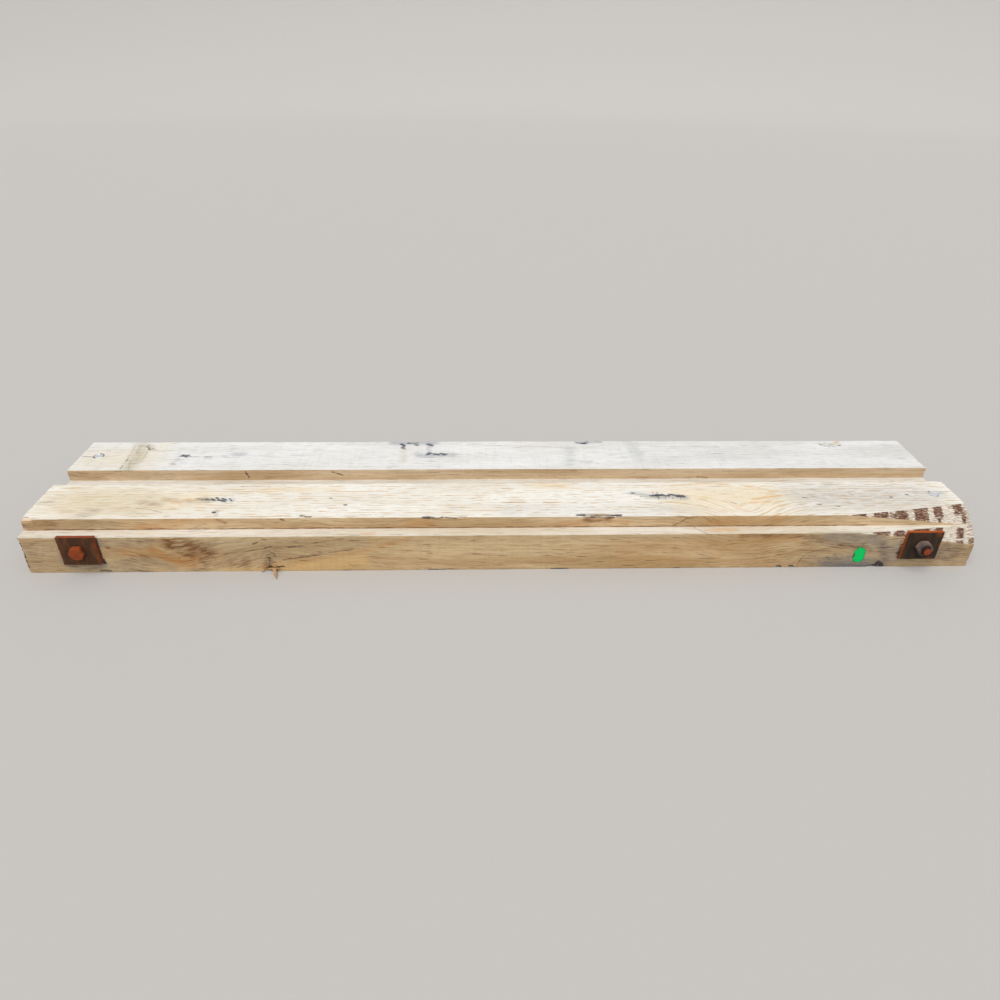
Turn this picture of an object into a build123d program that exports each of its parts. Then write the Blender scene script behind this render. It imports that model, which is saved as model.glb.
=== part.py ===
"""A coupled railway sleeper, the double sleeper that lies under a rail joint.

Two sawn oak sleepers lie side by side and touch along their inner faces. Both top edges of
each are cut back to a step, so the pair has a ledge along each outer side and a groove down
the middle. Near each end a long bolt passes through both sleepers and clamps them between
thick steel plate washers. The left bolt has its head in front, and the right bolt has its nut
in front. At the right end the sawn section reaches past the surface of its log, so the log's
own round surface, the wane, takes the place of the front sleeper's upper outer corner.

Axes: X runs along the sleepers with the right end at +X, the front is at -Y and +Z is up.
The origin is midway along, at the bottom, in the plane where the two sleepers meet.
All sizes are in millimetres and all angles in degrees.
"""

import os
from math import radians, sqrt, tan

from build123d import *

# Sawn section and length of one sleeper
sleeper_length = 2600.0
sleeper_width = 260.0
sleeper_height = 150.0
step_depth = 35.0
outer_step_width = 37.0
inner_step_width = 41.0

# The front sleeper's log at the right end, with its heart line measured from the sawn faces
log_radius_at_end = 204.8
log_taper_per_metre = 76.8
log_heart_from_front_face = 168.7
log_heart_below_bottom = 41.5

# Tie bolts
bolt_diameter = 24.0
bolt_from_end = 155.0
bolt_above_bottom = 78.0
bore_clearance = 1.0
head_across_flats = 36.0
head_thickness = 15.0
head_seat_diameter = 33.6
head_seat_thickness = 0.8
thread_past_nut = 8.5
thread_end_chamfer = 2.5

# Nuts, and the bevel that nuts and heads share
nut_across_flats = 36.0
nut_thickness = 21.5
nut_mouth_chamfer = 1.2
thread_clearance = 0.1
hex_bevel_inside_flats = 0.9
hex_bevel_angle = 30.0

# Plate washers
plate_length = 100.0
plate_height = 90.0
plate_thickness = 10.0
plate_edge_rounding = 1.0

# Marking nails, one driven flush into the top of each sleeper
nail_head_diameter = 24.0
nail_head_thickness = 3.0
nail_dome_height = 1.0
nail_shank_diameter = 6.0
nail_length = 50.0
nail_point_length = 9.0
nail_clearance = 0.1
front_nail_from_end = 59.0
front_nail_from_joint = 111.0
rear_nail_from_end = 55.0
rear_nail_from_joint = 132.0

# Directions
FRONT, REAR = -1, 1
LEFT, RIGHT = -1, 1

# Places that follow from the sizes above
half_length = sleeper_length / 2
ledge_height = sleeper_height - step_depth
bolt_distance = half_length - bolt_from_end
bore_radius = bolt_diameter / 2 + bore_clearance
clamped_width = 2 * (sleeper_width + plate_thickness)
shank_length = clamped_width + nut_thickness + thread_past_nut


def save(piece, name):
    """Label a finished piece and write it as its own file."""
    piece.part.label = name
    export_step(piece.part, f"parts/{name}.step")


def outward_plane(side, end, distance):
    """A plane across a bolt's line, at a distance from the joint, facing away from it."""
    place = (end * bolt_distance, side * distance, bolt_above_bottom)
    return Plane(origin=place, x_dir=(1, 0, 0), z_dir=(0, side, 0))


def lengthwise_plane(across):
    """The plane that holds a bolt's line, with its local Y running outwards along the line."""
    return Plane(origin=across.origin, x_dir=across.x_dir, z_dir=-across.y_dir)


def section_corners(side):
    """Corners of one sleeper's stepped section, from the joint plane out to its free side."""
    outer_riser = sleeper_width - outer_step_width
    corners = [
        (0, 0),
        (sleeper_width, 0),
        (sleeper_width, ledge_height),
        (outer_riser, ledge_height),
        (outer_riser, sleeper_height),
        (inner_step_width, sleeper_height),
        (inner_step_width, ledge_height),
        (0, ledge_height),
    ]
    return [(side * y, z) for y, z in corners]


def make_log():
    """The tapering log that the front sleeper was sawn from, thinnest at the right end."""
    heart_y = log_heart_from_front_face - sleeper_width
    log_plane = Plane(
        origin=(half_length, heart_y, -log_heart_below_bottom), x_dir=(-1, 0, 0), z_dir=(0, 1, 0)
    )
    radius_at_left_end = log_radius_at_end + log_taper_per_metre * sleeper_length / 1000
    with BuildPart() as log:
        with BuildSketch(log_plane):
            with BuildLine():
                Polyline(
                    (0, 0),
                    (sleeper_length, 0),
                    (sleeper_length, radius_at_left_end),
                    (0, log_radius_at_end),
                    close=True,
                )
            make_face()
        revolve(axis=Axis(log_plane.origin, log_plane.x_dir))
    return log.part


def make_sleeper(name, side, nail_place, log=None):
    """One sleeper: the sawn and stepped section, its two bolt bores and its nail's pocket.

    Where a log is given, what it doesn't reach is cut away, and its wane is left.
    """
    with BuildPart() as sleeper:
        with BuildSketch(Plane.YZ.offset(-half_length)):
            with BuildLine():
                Polyline(section_corners(side), close=True)
            make_face()
        extrude(amount=sleeper_length)
        if log:
            add(log, mode=Mode.INTERSECT)
        with BuildSketch(outward_plane(side, LEFT, 0), outward_plane(side, RIGHT, 0)):
            Circle(bore_radius)
        extrude(amount=sleeper_width, mode=Mode.SUBTRACT)
        with Locations((*nail_place, sleeper_height)):
            CounterBoreHole(
                radius=nail_shank_diameter / 2 + nail_clearance,
                counter_bore_radius=nail_head_diameter / 2 + nail_clearance,
                counter_bore_depth=nail_head_thickness,
                depth=nail_length + nail_clearance,
            )
    save(sleeper, name)


def make_plate(name, side, end):
    """A flame-cut plate washer that lies against the outer face of a sleeper."""
    with BuildPart() as plate:
        with BuildSketch(outward_plane(side, end, sleeper_width)):
            Rectangle(plate_length, plate_height)
            Circle(bore_radius, mode=Mode.SUBTRACT)
        extrude(amount=plate_thickness)
        shown_face = plate.faces().sort_by(Axis.Y)[0 if side == FRONT else -1]
        fillet(shown_face.outer_wire().edges(), plate_edge_rounding)
    save(plate, name)


def hex_corner(across_flats):
    """Radius through the corners of a hexagon."""
    return across_flats / sqrt(3)


def bevelled_rim(across_flats, height, towards):
    """Two points that bevel a hexagon's corners, at a face that looks up (+1) or down (-1)."""
    face_radius = across_flats / 2 - hex_bevel_inside_flats
    bevel_depth = (hex_corner(across_flats) - face_radius) * tan(radians(hex_bevel_angle))
    return [(hex_corner(across_flats), height - towards * bevel_depth), (face_radius, height)]


def turn_and_cut_flats(seat, outline, across_flats, thickness):
    """Turn an outline about a bolt's line, and cut six flats on what stands on the seat."""
    with BuildPart() as fastener:
        with BuildSketch(lengthwise_plane(seat)):
            with BuildLine():
                Polyline(outline, close=True)
            make_face()
        revolve(axis=Axis(seat.origin, seat.z_dir))
        with BuildSketch(seat):
            Circle(across_flats)
            RegularPolygon(across_flats / 2, 6, major_radius=False, mode=Mode.SUBTRACT)
        extrude(amount=thickness, mode=Mode.SUBTRACT)
    return fastener


def make_tie_bolt(name, head_side, end):
    """A hexagon-head bolt through both sleepers, from its head's seat to past its nut."""
    seat = outward_plane(head_side, end, sleeper_width + plate_thickness)
    shank_radius = bolt_diameter / 2
    outline = [
        (0, -shank_length),
        (shank_radius - thread_end_chamfer, -shank_length),
        (shank_radius, thread_end_chamfer - shank_length),
        (shank_radius, 0),
        (head_seat_diameter / 2, 0),
        (head_seat_diameter / 2, head_seat_thickness),
        (hex_corner(head_across_flats), head_seat_thickness),
        *bevelled_rim(head_across_flats, head_thickness, towards=1),
        (0, head_thickness),
    ]
    save(turn_and_cut_flats(seat, outline, head_across_flats, head_thickness), name)


def make_nut(name, side, end):
    """A plain hexagon nut, bevelled on both faces, seated on its plate washer."""
    seat = outward_plane(side, end, sleeper_width + plate_thickness)
    thread_radius = bolt_diameter / 2 + thread_clearance
    mouth_radius = thread_radius + nut_mouth_chamfer
    outline = [
        (mouth_radius, 0),
        *reversed(bevelled_rim(nut_across_flats, 0, towards=-1)),
        *bevelled_rim(nut_across_flats, nut_thickness, towards=1),
        (mouth_radius, nut_thickness),
        (thread_radius, nut_thickness - nut_mouth_chamfer),
        (thread_radius, nut_mouth_chamfer),
    ]
    save(turn_and_cut_flats(seat, outline, nut_across_flats, nut_thickness), name)


def make_marking_nail(name, nail_place):
    """A marking nail with a broad, slightly domed head, its crown level with the sawn top."""
    head_radius = nail_head_diameter / 2
    shank_radius = nail_shank_diameter / 2
    crown = Vector(*nail_place, sleeper_height)
    with BuildPart() as nail:
        with BuildSketch(Plane(origin=crown, x_dir=(1, 0, 0), z_dir=(0, -1, 0))):
            with BuildLine():
                dome = TangentArc((0, 0), (head_radius, -nail_dome_height), tangent=(1, 0))
                Polyline(
                    dome @ 1,
                    (head_radius, -nail_head_thickness),
                    (shank_radius, -nail_head_thickness),
                    (shank_radius, nail_point_length - nail_length),
                    (0, -nail_length),
                    dome @ 0,
                )
            make_face()
        revolve(axis=Axis(crown, (0, 0, 1)))
    save(nail, name)


os.makedirs("parts", exist_ok=True)

front_nail_place = (half_length - front_nail_from_end, -front_nail_from_joint)
rear_nail_place = (rear_nail_from_end - half_length, rear_nail_from_joint)

make_sleeper("front_sleeper", FRONT, front_nail_place, log=make_log())
make_sleeper("rear_sleeper", REAR, rear_nail_place)
make_marking_nail("front_marking_nail", front_nail_place)
make_marking_nail("rear_marking_nail", rear_nail_place)

for end_name, end, head_side in (("left", LEFT, FRONT), ("right", RIGHT, REAR)):
    make_plate(f"front_{end_name}_plate", FRONT, end)
    make_plate(f"rear_{end_name}_plate", REAR, end)
    make_tie_bolt(f"{end_name}_tie_bolt", head_side, end)
    make_nut(f"{end_name}_nut", -head_side, end)
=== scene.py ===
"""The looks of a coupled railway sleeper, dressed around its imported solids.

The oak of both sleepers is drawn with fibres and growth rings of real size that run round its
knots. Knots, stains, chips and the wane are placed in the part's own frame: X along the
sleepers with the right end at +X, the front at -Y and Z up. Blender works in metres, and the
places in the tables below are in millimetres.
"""

import itertools
import logging
import math
from collections.abc import Callable, Sequence
from dataclasses import dataclass, field, replace
from enum import Enum

import bmesh
import bpy
import numpy as np
from mathutils import Matrix, Vector


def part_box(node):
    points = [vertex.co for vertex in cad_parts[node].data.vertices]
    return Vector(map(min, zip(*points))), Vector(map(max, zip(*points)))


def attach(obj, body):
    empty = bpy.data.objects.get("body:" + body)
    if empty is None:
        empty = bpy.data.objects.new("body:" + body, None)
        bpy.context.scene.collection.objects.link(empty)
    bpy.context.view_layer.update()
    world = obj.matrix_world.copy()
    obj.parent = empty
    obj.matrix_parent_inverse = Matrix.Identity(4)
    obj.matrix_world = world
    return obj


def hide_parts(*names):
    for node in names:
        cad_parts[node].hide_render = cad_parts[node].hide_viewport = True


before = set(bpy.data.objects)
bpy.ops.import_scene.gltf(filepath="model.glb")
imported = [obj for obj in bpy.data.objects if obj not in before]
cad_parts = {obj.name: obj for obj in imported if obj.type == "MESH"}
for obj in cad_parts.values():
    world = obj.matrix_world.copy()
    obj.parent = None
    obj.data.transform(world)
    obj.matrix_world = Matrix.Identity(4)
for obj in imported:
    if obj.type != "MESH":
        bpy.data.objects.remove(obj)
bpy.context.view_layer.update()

MM = 0.001
HALF_LENGTH = 1300.0  # of a sleeper, in millimetres
log = logging.getLogger("sleeper")

Point = tuple[float, float, float]


class Zone(Enum):
    """The kinds of surface on a sleeper, each with a finish of its own."""

    SIDE = 0
    TOP = 1
    LEDGE = 2
    RISER = 3
    END = 4
    WANE = 5
    GROOVE = 6


class Mark(Enum):
    """What discolours the oak. The value is the name of the painted attribute."""

    OCHRE = "ochre"
    AMBER = "amber"
    GREY = "grey"
    BROWN = "brown"
    BLUE = "blue"
    TANNIN = "tannin"
    # Dark torn wood, cracks and knot rings, and painted shade in the dents and chips that it lines
    TORN = "torn"
    PAINT = "paint"


class Edge(Enum):
    """The edges of a plate washer that fresh rust runs along, and the way that each looks."""

    LEFT = (-1, 0, 0)
    RIGHT = (1, 0, 0)
    TOP = (0, 0, 1)


# Numbers and colours

# Large odd numbers, which scatter the whole numbers that they multiply
HASH_STEPS = np.array((374761393, 668265263, 2246822519))
HASH_SPREAD = 1274126177
LOW_BITS = 0xFFFFFFFF


def ripple(points: np.ndarray, cell: Sequence[float], seed: int) -> np.ndarray:
    """Smooth noise that comes out the same each time.

    Args:
        points: Places in metres, one a row.
        cell: Size of one wave along X, Y and Z, in millimetres.
        seed: Picks one pattern among many.

    Returns:
        One value a point, from -1 to 1.
    """
    place = points / (np.asarray(cell) * MM) + 31.7 * seed
    corner = np.floor(place).astype(np.int64)
    part = place - corner
    part = part * part * (3 - 2 * part)
    total = np.zeros(len(points))
    for step in itertools.product((0, 1), repeat=3):
        mixed = ((corner + step) @ HASH_STEPS + seed * 97) & LOW_BITS
        mixed = ((mixed ^ (mixed >> 13)) * HASH_SPREAD) & LOW_BITS
        value = ((mixed ^ (mixed >> 16)) & 0xFFFF) / 32767.5 - 1
        total += np.prod(np.where(step, part, 1 - part), axis=1) * value
    return total


def ease(value: np.ndarray, low: float, high: float) -> np.ndarray:
    """Rise smoothly from 0 at low to 1 at high."""
    t = np.clip((value - low) / (high - low), 0, 1)
    return t * t * (3 - 2 * t)


def near_path(places: np.ndarray, path: Sequence[Point], scale: Sequence[float] = (1, 1, 1)) -> np.ndarray:
    """Distance in millimetres from each place to a path.

    Args:
        places: Places in metres, one a row.
        path: The path's points in millimetres.
        scale: How much a distance along X, Y and Z counts.

    Returns:
        One distance a place.
    """
    here = places / MM * np.asarray(scale)
    knots = [np.array(point) * scale for point in path]
    best = np.full(len(places), np.inf)
    for start, end in zip(knots, knots[1:] or knots):
        run = end - start
        share = np.clip((here - start) @ run / max(run @ run, 1e-9), 0, 1)
        best = np.minimum(best, np.linalg.norm(here - start - share[:, None] * run, axis=1))
    return best


def linear(hex_colour: str) -> tuple[float, float, float, float]:
    """Turn an sRGB hex colour into the linear one that shaders use."""
    parts = [int(hex_colour[i : i + 2], 16) / 255 for i in (1, 3, 5)]
    red, green, blue = (c / 12.92 if c <= 0.04045 else ((c + 0.055) / 1.055) ** 2.4 for c in parts)
    return red, green, blue, 1.0


# Modelling as by hand


def deselect() -> None:
    """Leave edit mode, with nothing selected."""
    if bpy.context.object and bpy.context.object.mode != "OBJECT":
        bpy.ops.object.mode_set(mode="OBJECT")
    bpy.ops.object.select_all(action="DESELECT")


def start(name: str, primitive: Callable[..., object], **settings: object) -> bpy.types.Object:
    """Add a primitive, put its place into its mesh and go into edit mode on it.

    Args:
        name: The new piece's name.
        primitive: The operator that adds it.
        settings: The operator's own settings.

    Returns:
        The new piece, in edit mode.
    """
    deselect()
    primitive(**settings)
    piece = bpy.context.object
    piece.name = piece.data.name = name
    bpy.ops.object.transform_apply(location=True, rotation=True, scale=True)
    bpy.ops.object.mode_set(mode="EDIT")
    bpy.ops.mesh.select_mode(type="VERT")
    return piece


def pick(piece: bpy.types.Object, kind: str, test: Callable[[object], bool]) -> None:
    """Select the parts of a piece in edit mode that pass a test.

    Args:
        piece: The object in edit mode.
        kind: VERT, EDGE or FACE.
        test: Says whether one part is wanted.
    """
    bpy.ops.mesh.select_mode(type=kind)
    bpy.ops.mesh.select_all(action="DESELECT")
    shape = bmesh.from_edit_mesh(piece.data)
    parts = {"VERT": shape.verts, "EDGE": shape.edges, "FACE": shape.faces}[kind]
    wanted = [part for part in parts if test(part)]
    for part in wanted:
        part.select_set(True)
    bmesh.update_edit_mesh(piece.data)


def finish_with(piece: bpy.types.Object, kind: str, **settings: object) -> None:
    """Add a modifier to a piece and apply it.

    Args:
        piece: The object, which is left in object mode.
        kind: The modifier's type.
        settings: The modifier's own settings.
    """
    deselect()
    piece.select_set(True)
    bpy.context.view_layer.objects.active = piece
    modifier = piece.modifiers.new(kind.lower(), kind)
    for key, value in settings.items():
        setattr(modifier, key, value)
    bpy.ops.object.modifier_apply(modifier=modifier.name)


def carve(piece: bpy.types.Object, tool: bpy.types.Object, operation: str) -> None:
    """Cut a piece with another solid, and throw the other away."""
    finish_with(piece, "BOOLEAN", object=tool, operation=operation, solver="EXACT")
    bpy.data.objects.remove(tool)


def bore(piece: bpy.types.Object, middle: Sequence[float], radius: float, depth: float, sides: int) -> None:
    """Bore a round hole along Y.

    Args:
        piece: What is bored.
        middle: The hole's middle, in metres.
        radius: Its radius in millimetres.
        depth: How long the bit is, in millimetres.
        sides: How many sides the hole gets.
    """
    bit = start(
        "bit",
        bpy.ops.mesh.primitive_cylinder_add,
        vertices=sides,
        radius=radius * MM,
        depth=depth * MM,
        location=middle,
        rotation=(math.pi / 2, 0, 0),
    )
    carve(piece, bit, "DIFFERENCE")


def bevel(piece: bpy.types.Object, width: float, segments: int, angle: float) -> None:
    """Bevel a piece by a width in millimetres, where it turns by more than an angle in degrees."""
    limit = {"limit_method": "ANGLE", "angle_limit": math.radians(angle)}
    finish_with(piece, "BEVEL", width=width * MM, segments=segments, **limit)


def dress(piece: bpy.types.Object, finish: bpy.types.Material, angle: float) -> None:
    """Shade the selected piece smooth up to an angle in degrees, and give it its finish."""
    bpy.ops.object.shade_smooth_by_angle(angle=math.radians(angle))
    piece.data.materials.append(finish)


def coordinates(piece: bpy.types.Object) -> np.ndarray:
    """The piece's vertices as an array, one a row."""
    flat = np.empty(len(piece.data.vertices) * 3)
    piece.data.vertices.foreach_get("co", flat)
    return flat.reshape(-1, 3)


def put_back(piece: bpy.types.Object, places: np.ndarray) -> None:
    """Write moved vertices back to the piece."""
    piece.data.vertices.foreach_set("co", places.ravel())
    piece.data.update()


def paint(piece: bpy.types.Object, name: str, values: np.ndarray) -> None:
    """Store one number a vertex on the piece, for its material to read."""
    layer = piece.data.attributes.new(name, "FLOAT", "POINT")
    layer.data.foreach_set("value", values.astype(np.float32))


def spin_outline(
    name: str, outline: Sequence[tuple[float, float]], seat: Vector, outward: int
) -> bpy.types.Object:
    """Draw an outline point by point and spin it about a line along Y.

    Args:
        name: The new piece's name.
        outline: Its points as radius and distance out from the seat, in millimetres.
        seat: Where the line meets the seat.
        outward: 1 where outwards is +Y, or -1.

    Returns:
        The turned piece, in edit mode, with its faces outwards.
    """
    places = [Vector((radius, outward * out, 0)) * MM + seat for radius, out in outline]
    piece = start(name, bpy.ops.mesh.primitive_plane_add, size=MM, location=places[0])
    bpy.ops.mesh.merge(type="CENTER")
    for before, after in itertools.pairwise(places):
        bpy.ops.mesh.extrude_region_move(TRANSFORM_OT_translate={"value": after - before})
    bpy.ops.mesh.select_all(action="SELECT")
    bpy.ops.mesh.spin(steps=48, angle=math.tau, center=seat, axis=(0, 1, 0))
    bpy.ops.mesh.select_all(action="SELECT")
    bpy.ops.mesh.remove_doubles(threshold=0.01 * MM)
    bpy.ops.mesh.normals_make_consistent(inside=False)
    return piece


def hand_over(piece: bpy.types.Object, node: str | None) -> bpy.types.Object:
    """Let a finished piece stand for its CAD node, if it has one, on the one body there is."""
    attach(piece, "root")
    if node:
        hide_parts(node)
    return piece


# Finishes

NodeInputs = dict[int | str, object] | Sequence[object]


class Board:
    """A material's nodes, and the one way that they are added."""

    def __init__(self, name: str) -> None:
        """Start an empty material that ends in one Principled shader."""
        self.material = bpy.data.materials.new(name)
        self.material.use_nodes = True
        self.tree = self.material.node_tree
        self.shader = self.tree.nodes["Principled BSDF"]

    def feed(self, socket: bpy.types.NodeSocket, value: object) -> None:
        """Link an output to a socket, or set the socket's own value."""
        if isinstance(value, bpy.types.NodeSocket):
            self.tree.links.new(value, socket)
        else:
            socket.default_value = value

    def add(
        self, kind: str, inputs: NodeInputs = (), out: int | str = 0, **settings: object
    ) -> bpy.types.NodeSocket:
        """Add one node.

        Args:
            kind: The node's type without its prefix.
            inputs: What its inputs get, in order or by name or number: a socket or a value.
            out: Which output to give back.
            settings: The node's own settings.

        Returns:
            The output that was asked for.
        """
        node = self.tree.nodes.new("ShaderNode" + kind)
        for key, value in settings.items():
            setattr(node, key, value)
        for key, value in inputs.items() if isinstance(inputs, dict) else enumerate(inputs):
            self.feed(node.inputs[key], value)
        return node.outputs[out]

    def finish(self, surface: dict[str, object]) -> bpy.types.Material:
        """Feed the shader's sockets by name, and give the material back."""
        for socket, value in surface.items():
            self.feed(self.shader.inputs[socket], value)
        return self.material


SMOOTH = {"interpolation_type": "SMOOTHSTEP"}
COLOURS = {"data_type": "RGBA"}
TIMES = {"operation": "MULTIPLY"}
TIMES_PLUS = {"operation": "MULTIPLY_ADD"}
MINUS = {"operation": "SUBTRACT"}


@dataclass(frozen=True)
class Wane:
    """The log's own surface: pale stripped wood with torn inner bark left on it."""

    wood: str = "#e4ddd0"
    wood_shade: str = "#baa48b"
    bark: str = "#7d5745"
    bark_shade: str = "#543628"


@dataclass(frozen=True)
class OakFinish:
    """Rough-sawn oak, seen along the grain. Its own values are those of the front sleeper's side.

    The saw leaves it matt and hairy, with faint bands across. Its growth lines are real in size.
    Its pores and torn fibres are drawn 3 to 4 mm wide, several times their real width, because
    finer ones wouldn't show.
    """

    name: str
    light: str = "#dfc59a"
    deep: str = "#c5a476"
    line: str = "#996e44"
    line_gap: float = 13.0
    line_from: float = 0.1
    line_strength: float = 0.3
    streak_strength: float = 0.3
    fibre_strength: float = 0.34
    saw_strength: float = 0.07
    dash_length: float = 60.0
    check_strength: float = 0.75
    ochre: str = "#e6bf82"
    amber: str = "#cd8f4e"
    grey: str = "#b4a183"
    brown: str = "#774620"
    blue: str = "#646d78"
    tannin: str = "#2c3038"
    # The colour of dark torn wood, and of painted shade in dents and chips
    torn: str = "#41352a"
    weathered: str = "#653e24"
    check: str = "#4a3625"
    sawn: str = "#6b5a45"
    paint: str = "#00d569"
    paint_rim: str = "#0a7f4b"
    wane: Wane | None = None

    def build(self) -> bpy.types.Material:
        """Make the material.

        Returns:
            The finished oak.
        """
        b = Board(self.name)
        x = b.add("SeparateXYZ", [b.add("TexCoord", out="Object")])
        y, z = x.node.outputs[1], x.node.outputs[2]
        bend = b.add("Attribute", out="Fac", attribute_name="bend")
        unrolled = b.add("Math", [b.add("Math", [y, z]), bend])
        flat = b.add("CombineXYZ", [x, unrolled])
        slow = b.add("Mapping", {"Vector": flat, "Scale": (7, 24, 1)})
        wander = b.add("TexNoise", {"Vector": slow, "Scale": 1.0, "Detail": 2.0})
        across = b.add("Math", [wander, 0.016, unrolled], **TIMES_PLUS)
        noise = self.patterns(b, b.add("CombineXYZ", [x, across]))
        bands = b.add("Mapping", {"Vector": flat, "Scale": (95, 6, 1)})
        saw = b.add("TexNoise", {"Vector": bands, "Scale": 1.0, "Detail": 3.0})
        sway = b.add("Math", [noise["streak"], 7.0], **TIMES)
        phase = b.add("Math", [across, math.tau * 1000 / self.line_gap, sway], **TIMES_PLUS)
        wave = b.add("Math", [phase], operation="SINE")
        crest = b.add("MapRange", [wave, self.line_from, 0.95, 0.0, 1.0], **SMOOTH)
        broken = b.add("MapRange", [noise["dash"], 0.45, 0.58, 0.0, 1.0], **SMOOTH)
        lines = b.add("Math", [crest, broken], **TIMES)
        fibres = b.add("MapRange", [noise["fibre"], 0.5, 0.68, 0.0, 1.0], **SMOOTH)
        hairs = b.add("MapRange", [noise["fibre"], 0.46, 0.32, 0.0, 1.0], **SMOOTH)
        checks = b.add("MapRange", [noise["check"], 0.67, 0.71, 0.0, self.check_strength], **SMOOTH)
        colour = linear(self.light)
        for amount, tone in (
            (b.add("MapRange", [noise["cloud"], 0.36, 0.66, 0.0, 1.0], **SMOOTH), self.deep),
            (b.add("MapRange", [noise["streak"], 0.5, 0.75, 0.0, self.streak_strength], **SMOOTH), self.line),
            (b.add("Math", [lines, self.line_strength], **TIMES), self.line),
            (b.add("Math", [fibres, self.fibre_strength], **TIMES), self.line),
            (b.add("Math", [hairs, 0.45 * self.fibre_strength], **TIMES), self.light),
            *self.weather(b, noise, fibres),
            (checks, self.check),
            (b.add("MapRange", [saw, 0.5, 0.72, 0.0, self.saw_strength], **SMOOTH), self.sawn),
            *self.brush_paint(b, noise["fibre"]),
        ):
            colour = b.add("Mix", {0: amount, 6: colour, 7: linear(tone)}, out=2, **COLOURS)
        relief = b.add("Math", [lines, -0.5, b.add("Math", [saw, 0.35], **TIMES)], **TIMES_PLUS)
        relief = b.add("Math", [noise["fibre"], -0.9, relief], **TIMES_PLUS)
        relief = b.add("Math", [checks, -1.0, relief], **TIMES_PLUS)
        return b.finish({
            "Base Color": self.lay_wane(b, flat, colour) if self.wane else colour,
            "Roughness": 0.85,
            "Specular IOR Level": 0.25,
            "Normal": b.add("Bump", {"Strength": 0.6, "Distance": 0.8 * MM, "Height": relief}),
        })

    def patterns(self, b: Board, flow: bpy.types.NodeSocket) -> dict[str, bpy.types.NodeSocket]:
        """Draw the grain's patterns, each as long and as wide in millimetres as it says here.

        Args:
            b: The material that they go into.
            flow: Places along and across the grain, in metres.

        Returns:
            The patterns by name.
        """
        noise = {}
        for name, along, wide, detail in (
            ("cloud", 450, 70, 3.0),
            ("streak", 260, 9, 2.0),
            ("dash", self.dash_length, 6, 2.0),
            ("fibre", 50, 3.0, 3.0),
            ("check", 70, 3.6, 1.0),
            ("blotch", 30, 12, 4.0),
            ("fleck", 16, 3.6, 2.0),
        ):
            scale = (1000 / along, 1000 / wide, 1)
            drawn = b.add("Mapping", {"Vector": flow, "Scale": scale, "Location": (wide, along, 0)})
            noise[name] = b.add("TexNoise", {"Vector": drawn, "Scale": 1.0, "Detail": detail})
        return noise

    def weather(
        self, b: Board, noise: dict[str, bpy.types.NodeSocket], fibres: bpy.types.NodeSocket
    ) -> list[tuple[bpy.types.NodeSocket, str]]:
        """Stain the oak by its painted marks.

        Args:
            b: The material that the stains go into.
            noise: The grain's patterns.
            fibres: Where torn fibres stand up.

        Returns:
            How strong each stain is and its colour, from the lowest to the topmost.
        """
        marks = [mark for mark in Mark if mark is not Mark.PAINT]
        painted = {mark: b.add("Attribute", out="Fac", attribute_name=mark.value) for mark in marks}
        rough = b.add("Math", [noise["fibre"], 0.7, noise["blotch"]], **TIMES_PLUS)
        layers = []
        for mark, tone, least in (
            (Mark.OCHRE, self.ochre, 0.75),
            (Mark.AMBER, self.amber, 0.6),
            (Mark.GREY, self.grey, 0.75),
            (Mark.BROWN, self.brown, 0.45),
            (Mark.BLUE, self.blue, 0.7),
        ):
            flecked = b.add("MapRange", [rough, 0.74, 0.94, least, 1.0], **SMOOTH)
            layers.append((b.add("Math", [painted[mark], flecked], **TIMES), tone))
        # Tannin stain, and dark torn wood with painted shade in dents and chips
        for mark, tone in ((Mark.TANNIN, self.tannin), (Mark.TORN, self.torn)):
            uneven = b.add("Math", [rough, 0.85], **MINUS)
            ragged = b.add("Math", [uneven, 1.0, painted[mark]], **TIMES_PLUS)
            held = b.add("Math", [painted[mark], 5.0], use_clamp=True, **TIMES)
            shown = b.add("MapRange", [ragged, 0.1, 0.72, 0.0, 0.92], **SMOOTH)
            layers.append((b.add("Math", [held, shown], **TIMES), tone))
        worn = b.add("Math", [painted[Mark.GREY], 0.5, painted[Mark.BROWN]], use_clamp=True, **TIMES_PLUS)
        lifted = b.add("Math", [worn, fibres], **TIMES)
        layers.append((b.add("Math", [lifted, 0.6], **TIMES), self.weathered))
        flecks = b.add("MapRange", [noise["fleck"], 0.55, 0.68, 0.0, 0.5], **SMOOTH)
        most_where_worn = b.add("Math", [worn, 0.75, 0.2], **TIMES_PLUS)
        layers.append((b.add("Math", [most_where_worn, flecks], **TIMES), self.weathered))
        return layers

    def brush_paint(
        self, b: Board, fibre: bpy.types.NodeSocket
    ) -> list[tuple[bpy.types.NodeSocket, str]]:
        """Brush paint on where it is marked, darker at its broken rim."""
        marked = b.add("Attribute", out="Fac", attribute_name=Mark.PAINT.value)
        broken = b.add("Math", [fibre, 0.5], **MINUS)
        cover = b.add("Math", [broken, 0.5, marked], **TIMES_PLUS)
        return [
            (b.add("MapRange", [cover, 0.4, 0.46, 0.0, 1.0], **SMOOTH), self.paint_rim),
            (b.add("MapRange", [cover, 0.46, 0.6, 0.0, 1.0], **SMOOTH), self.paint),
        ]

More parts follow.
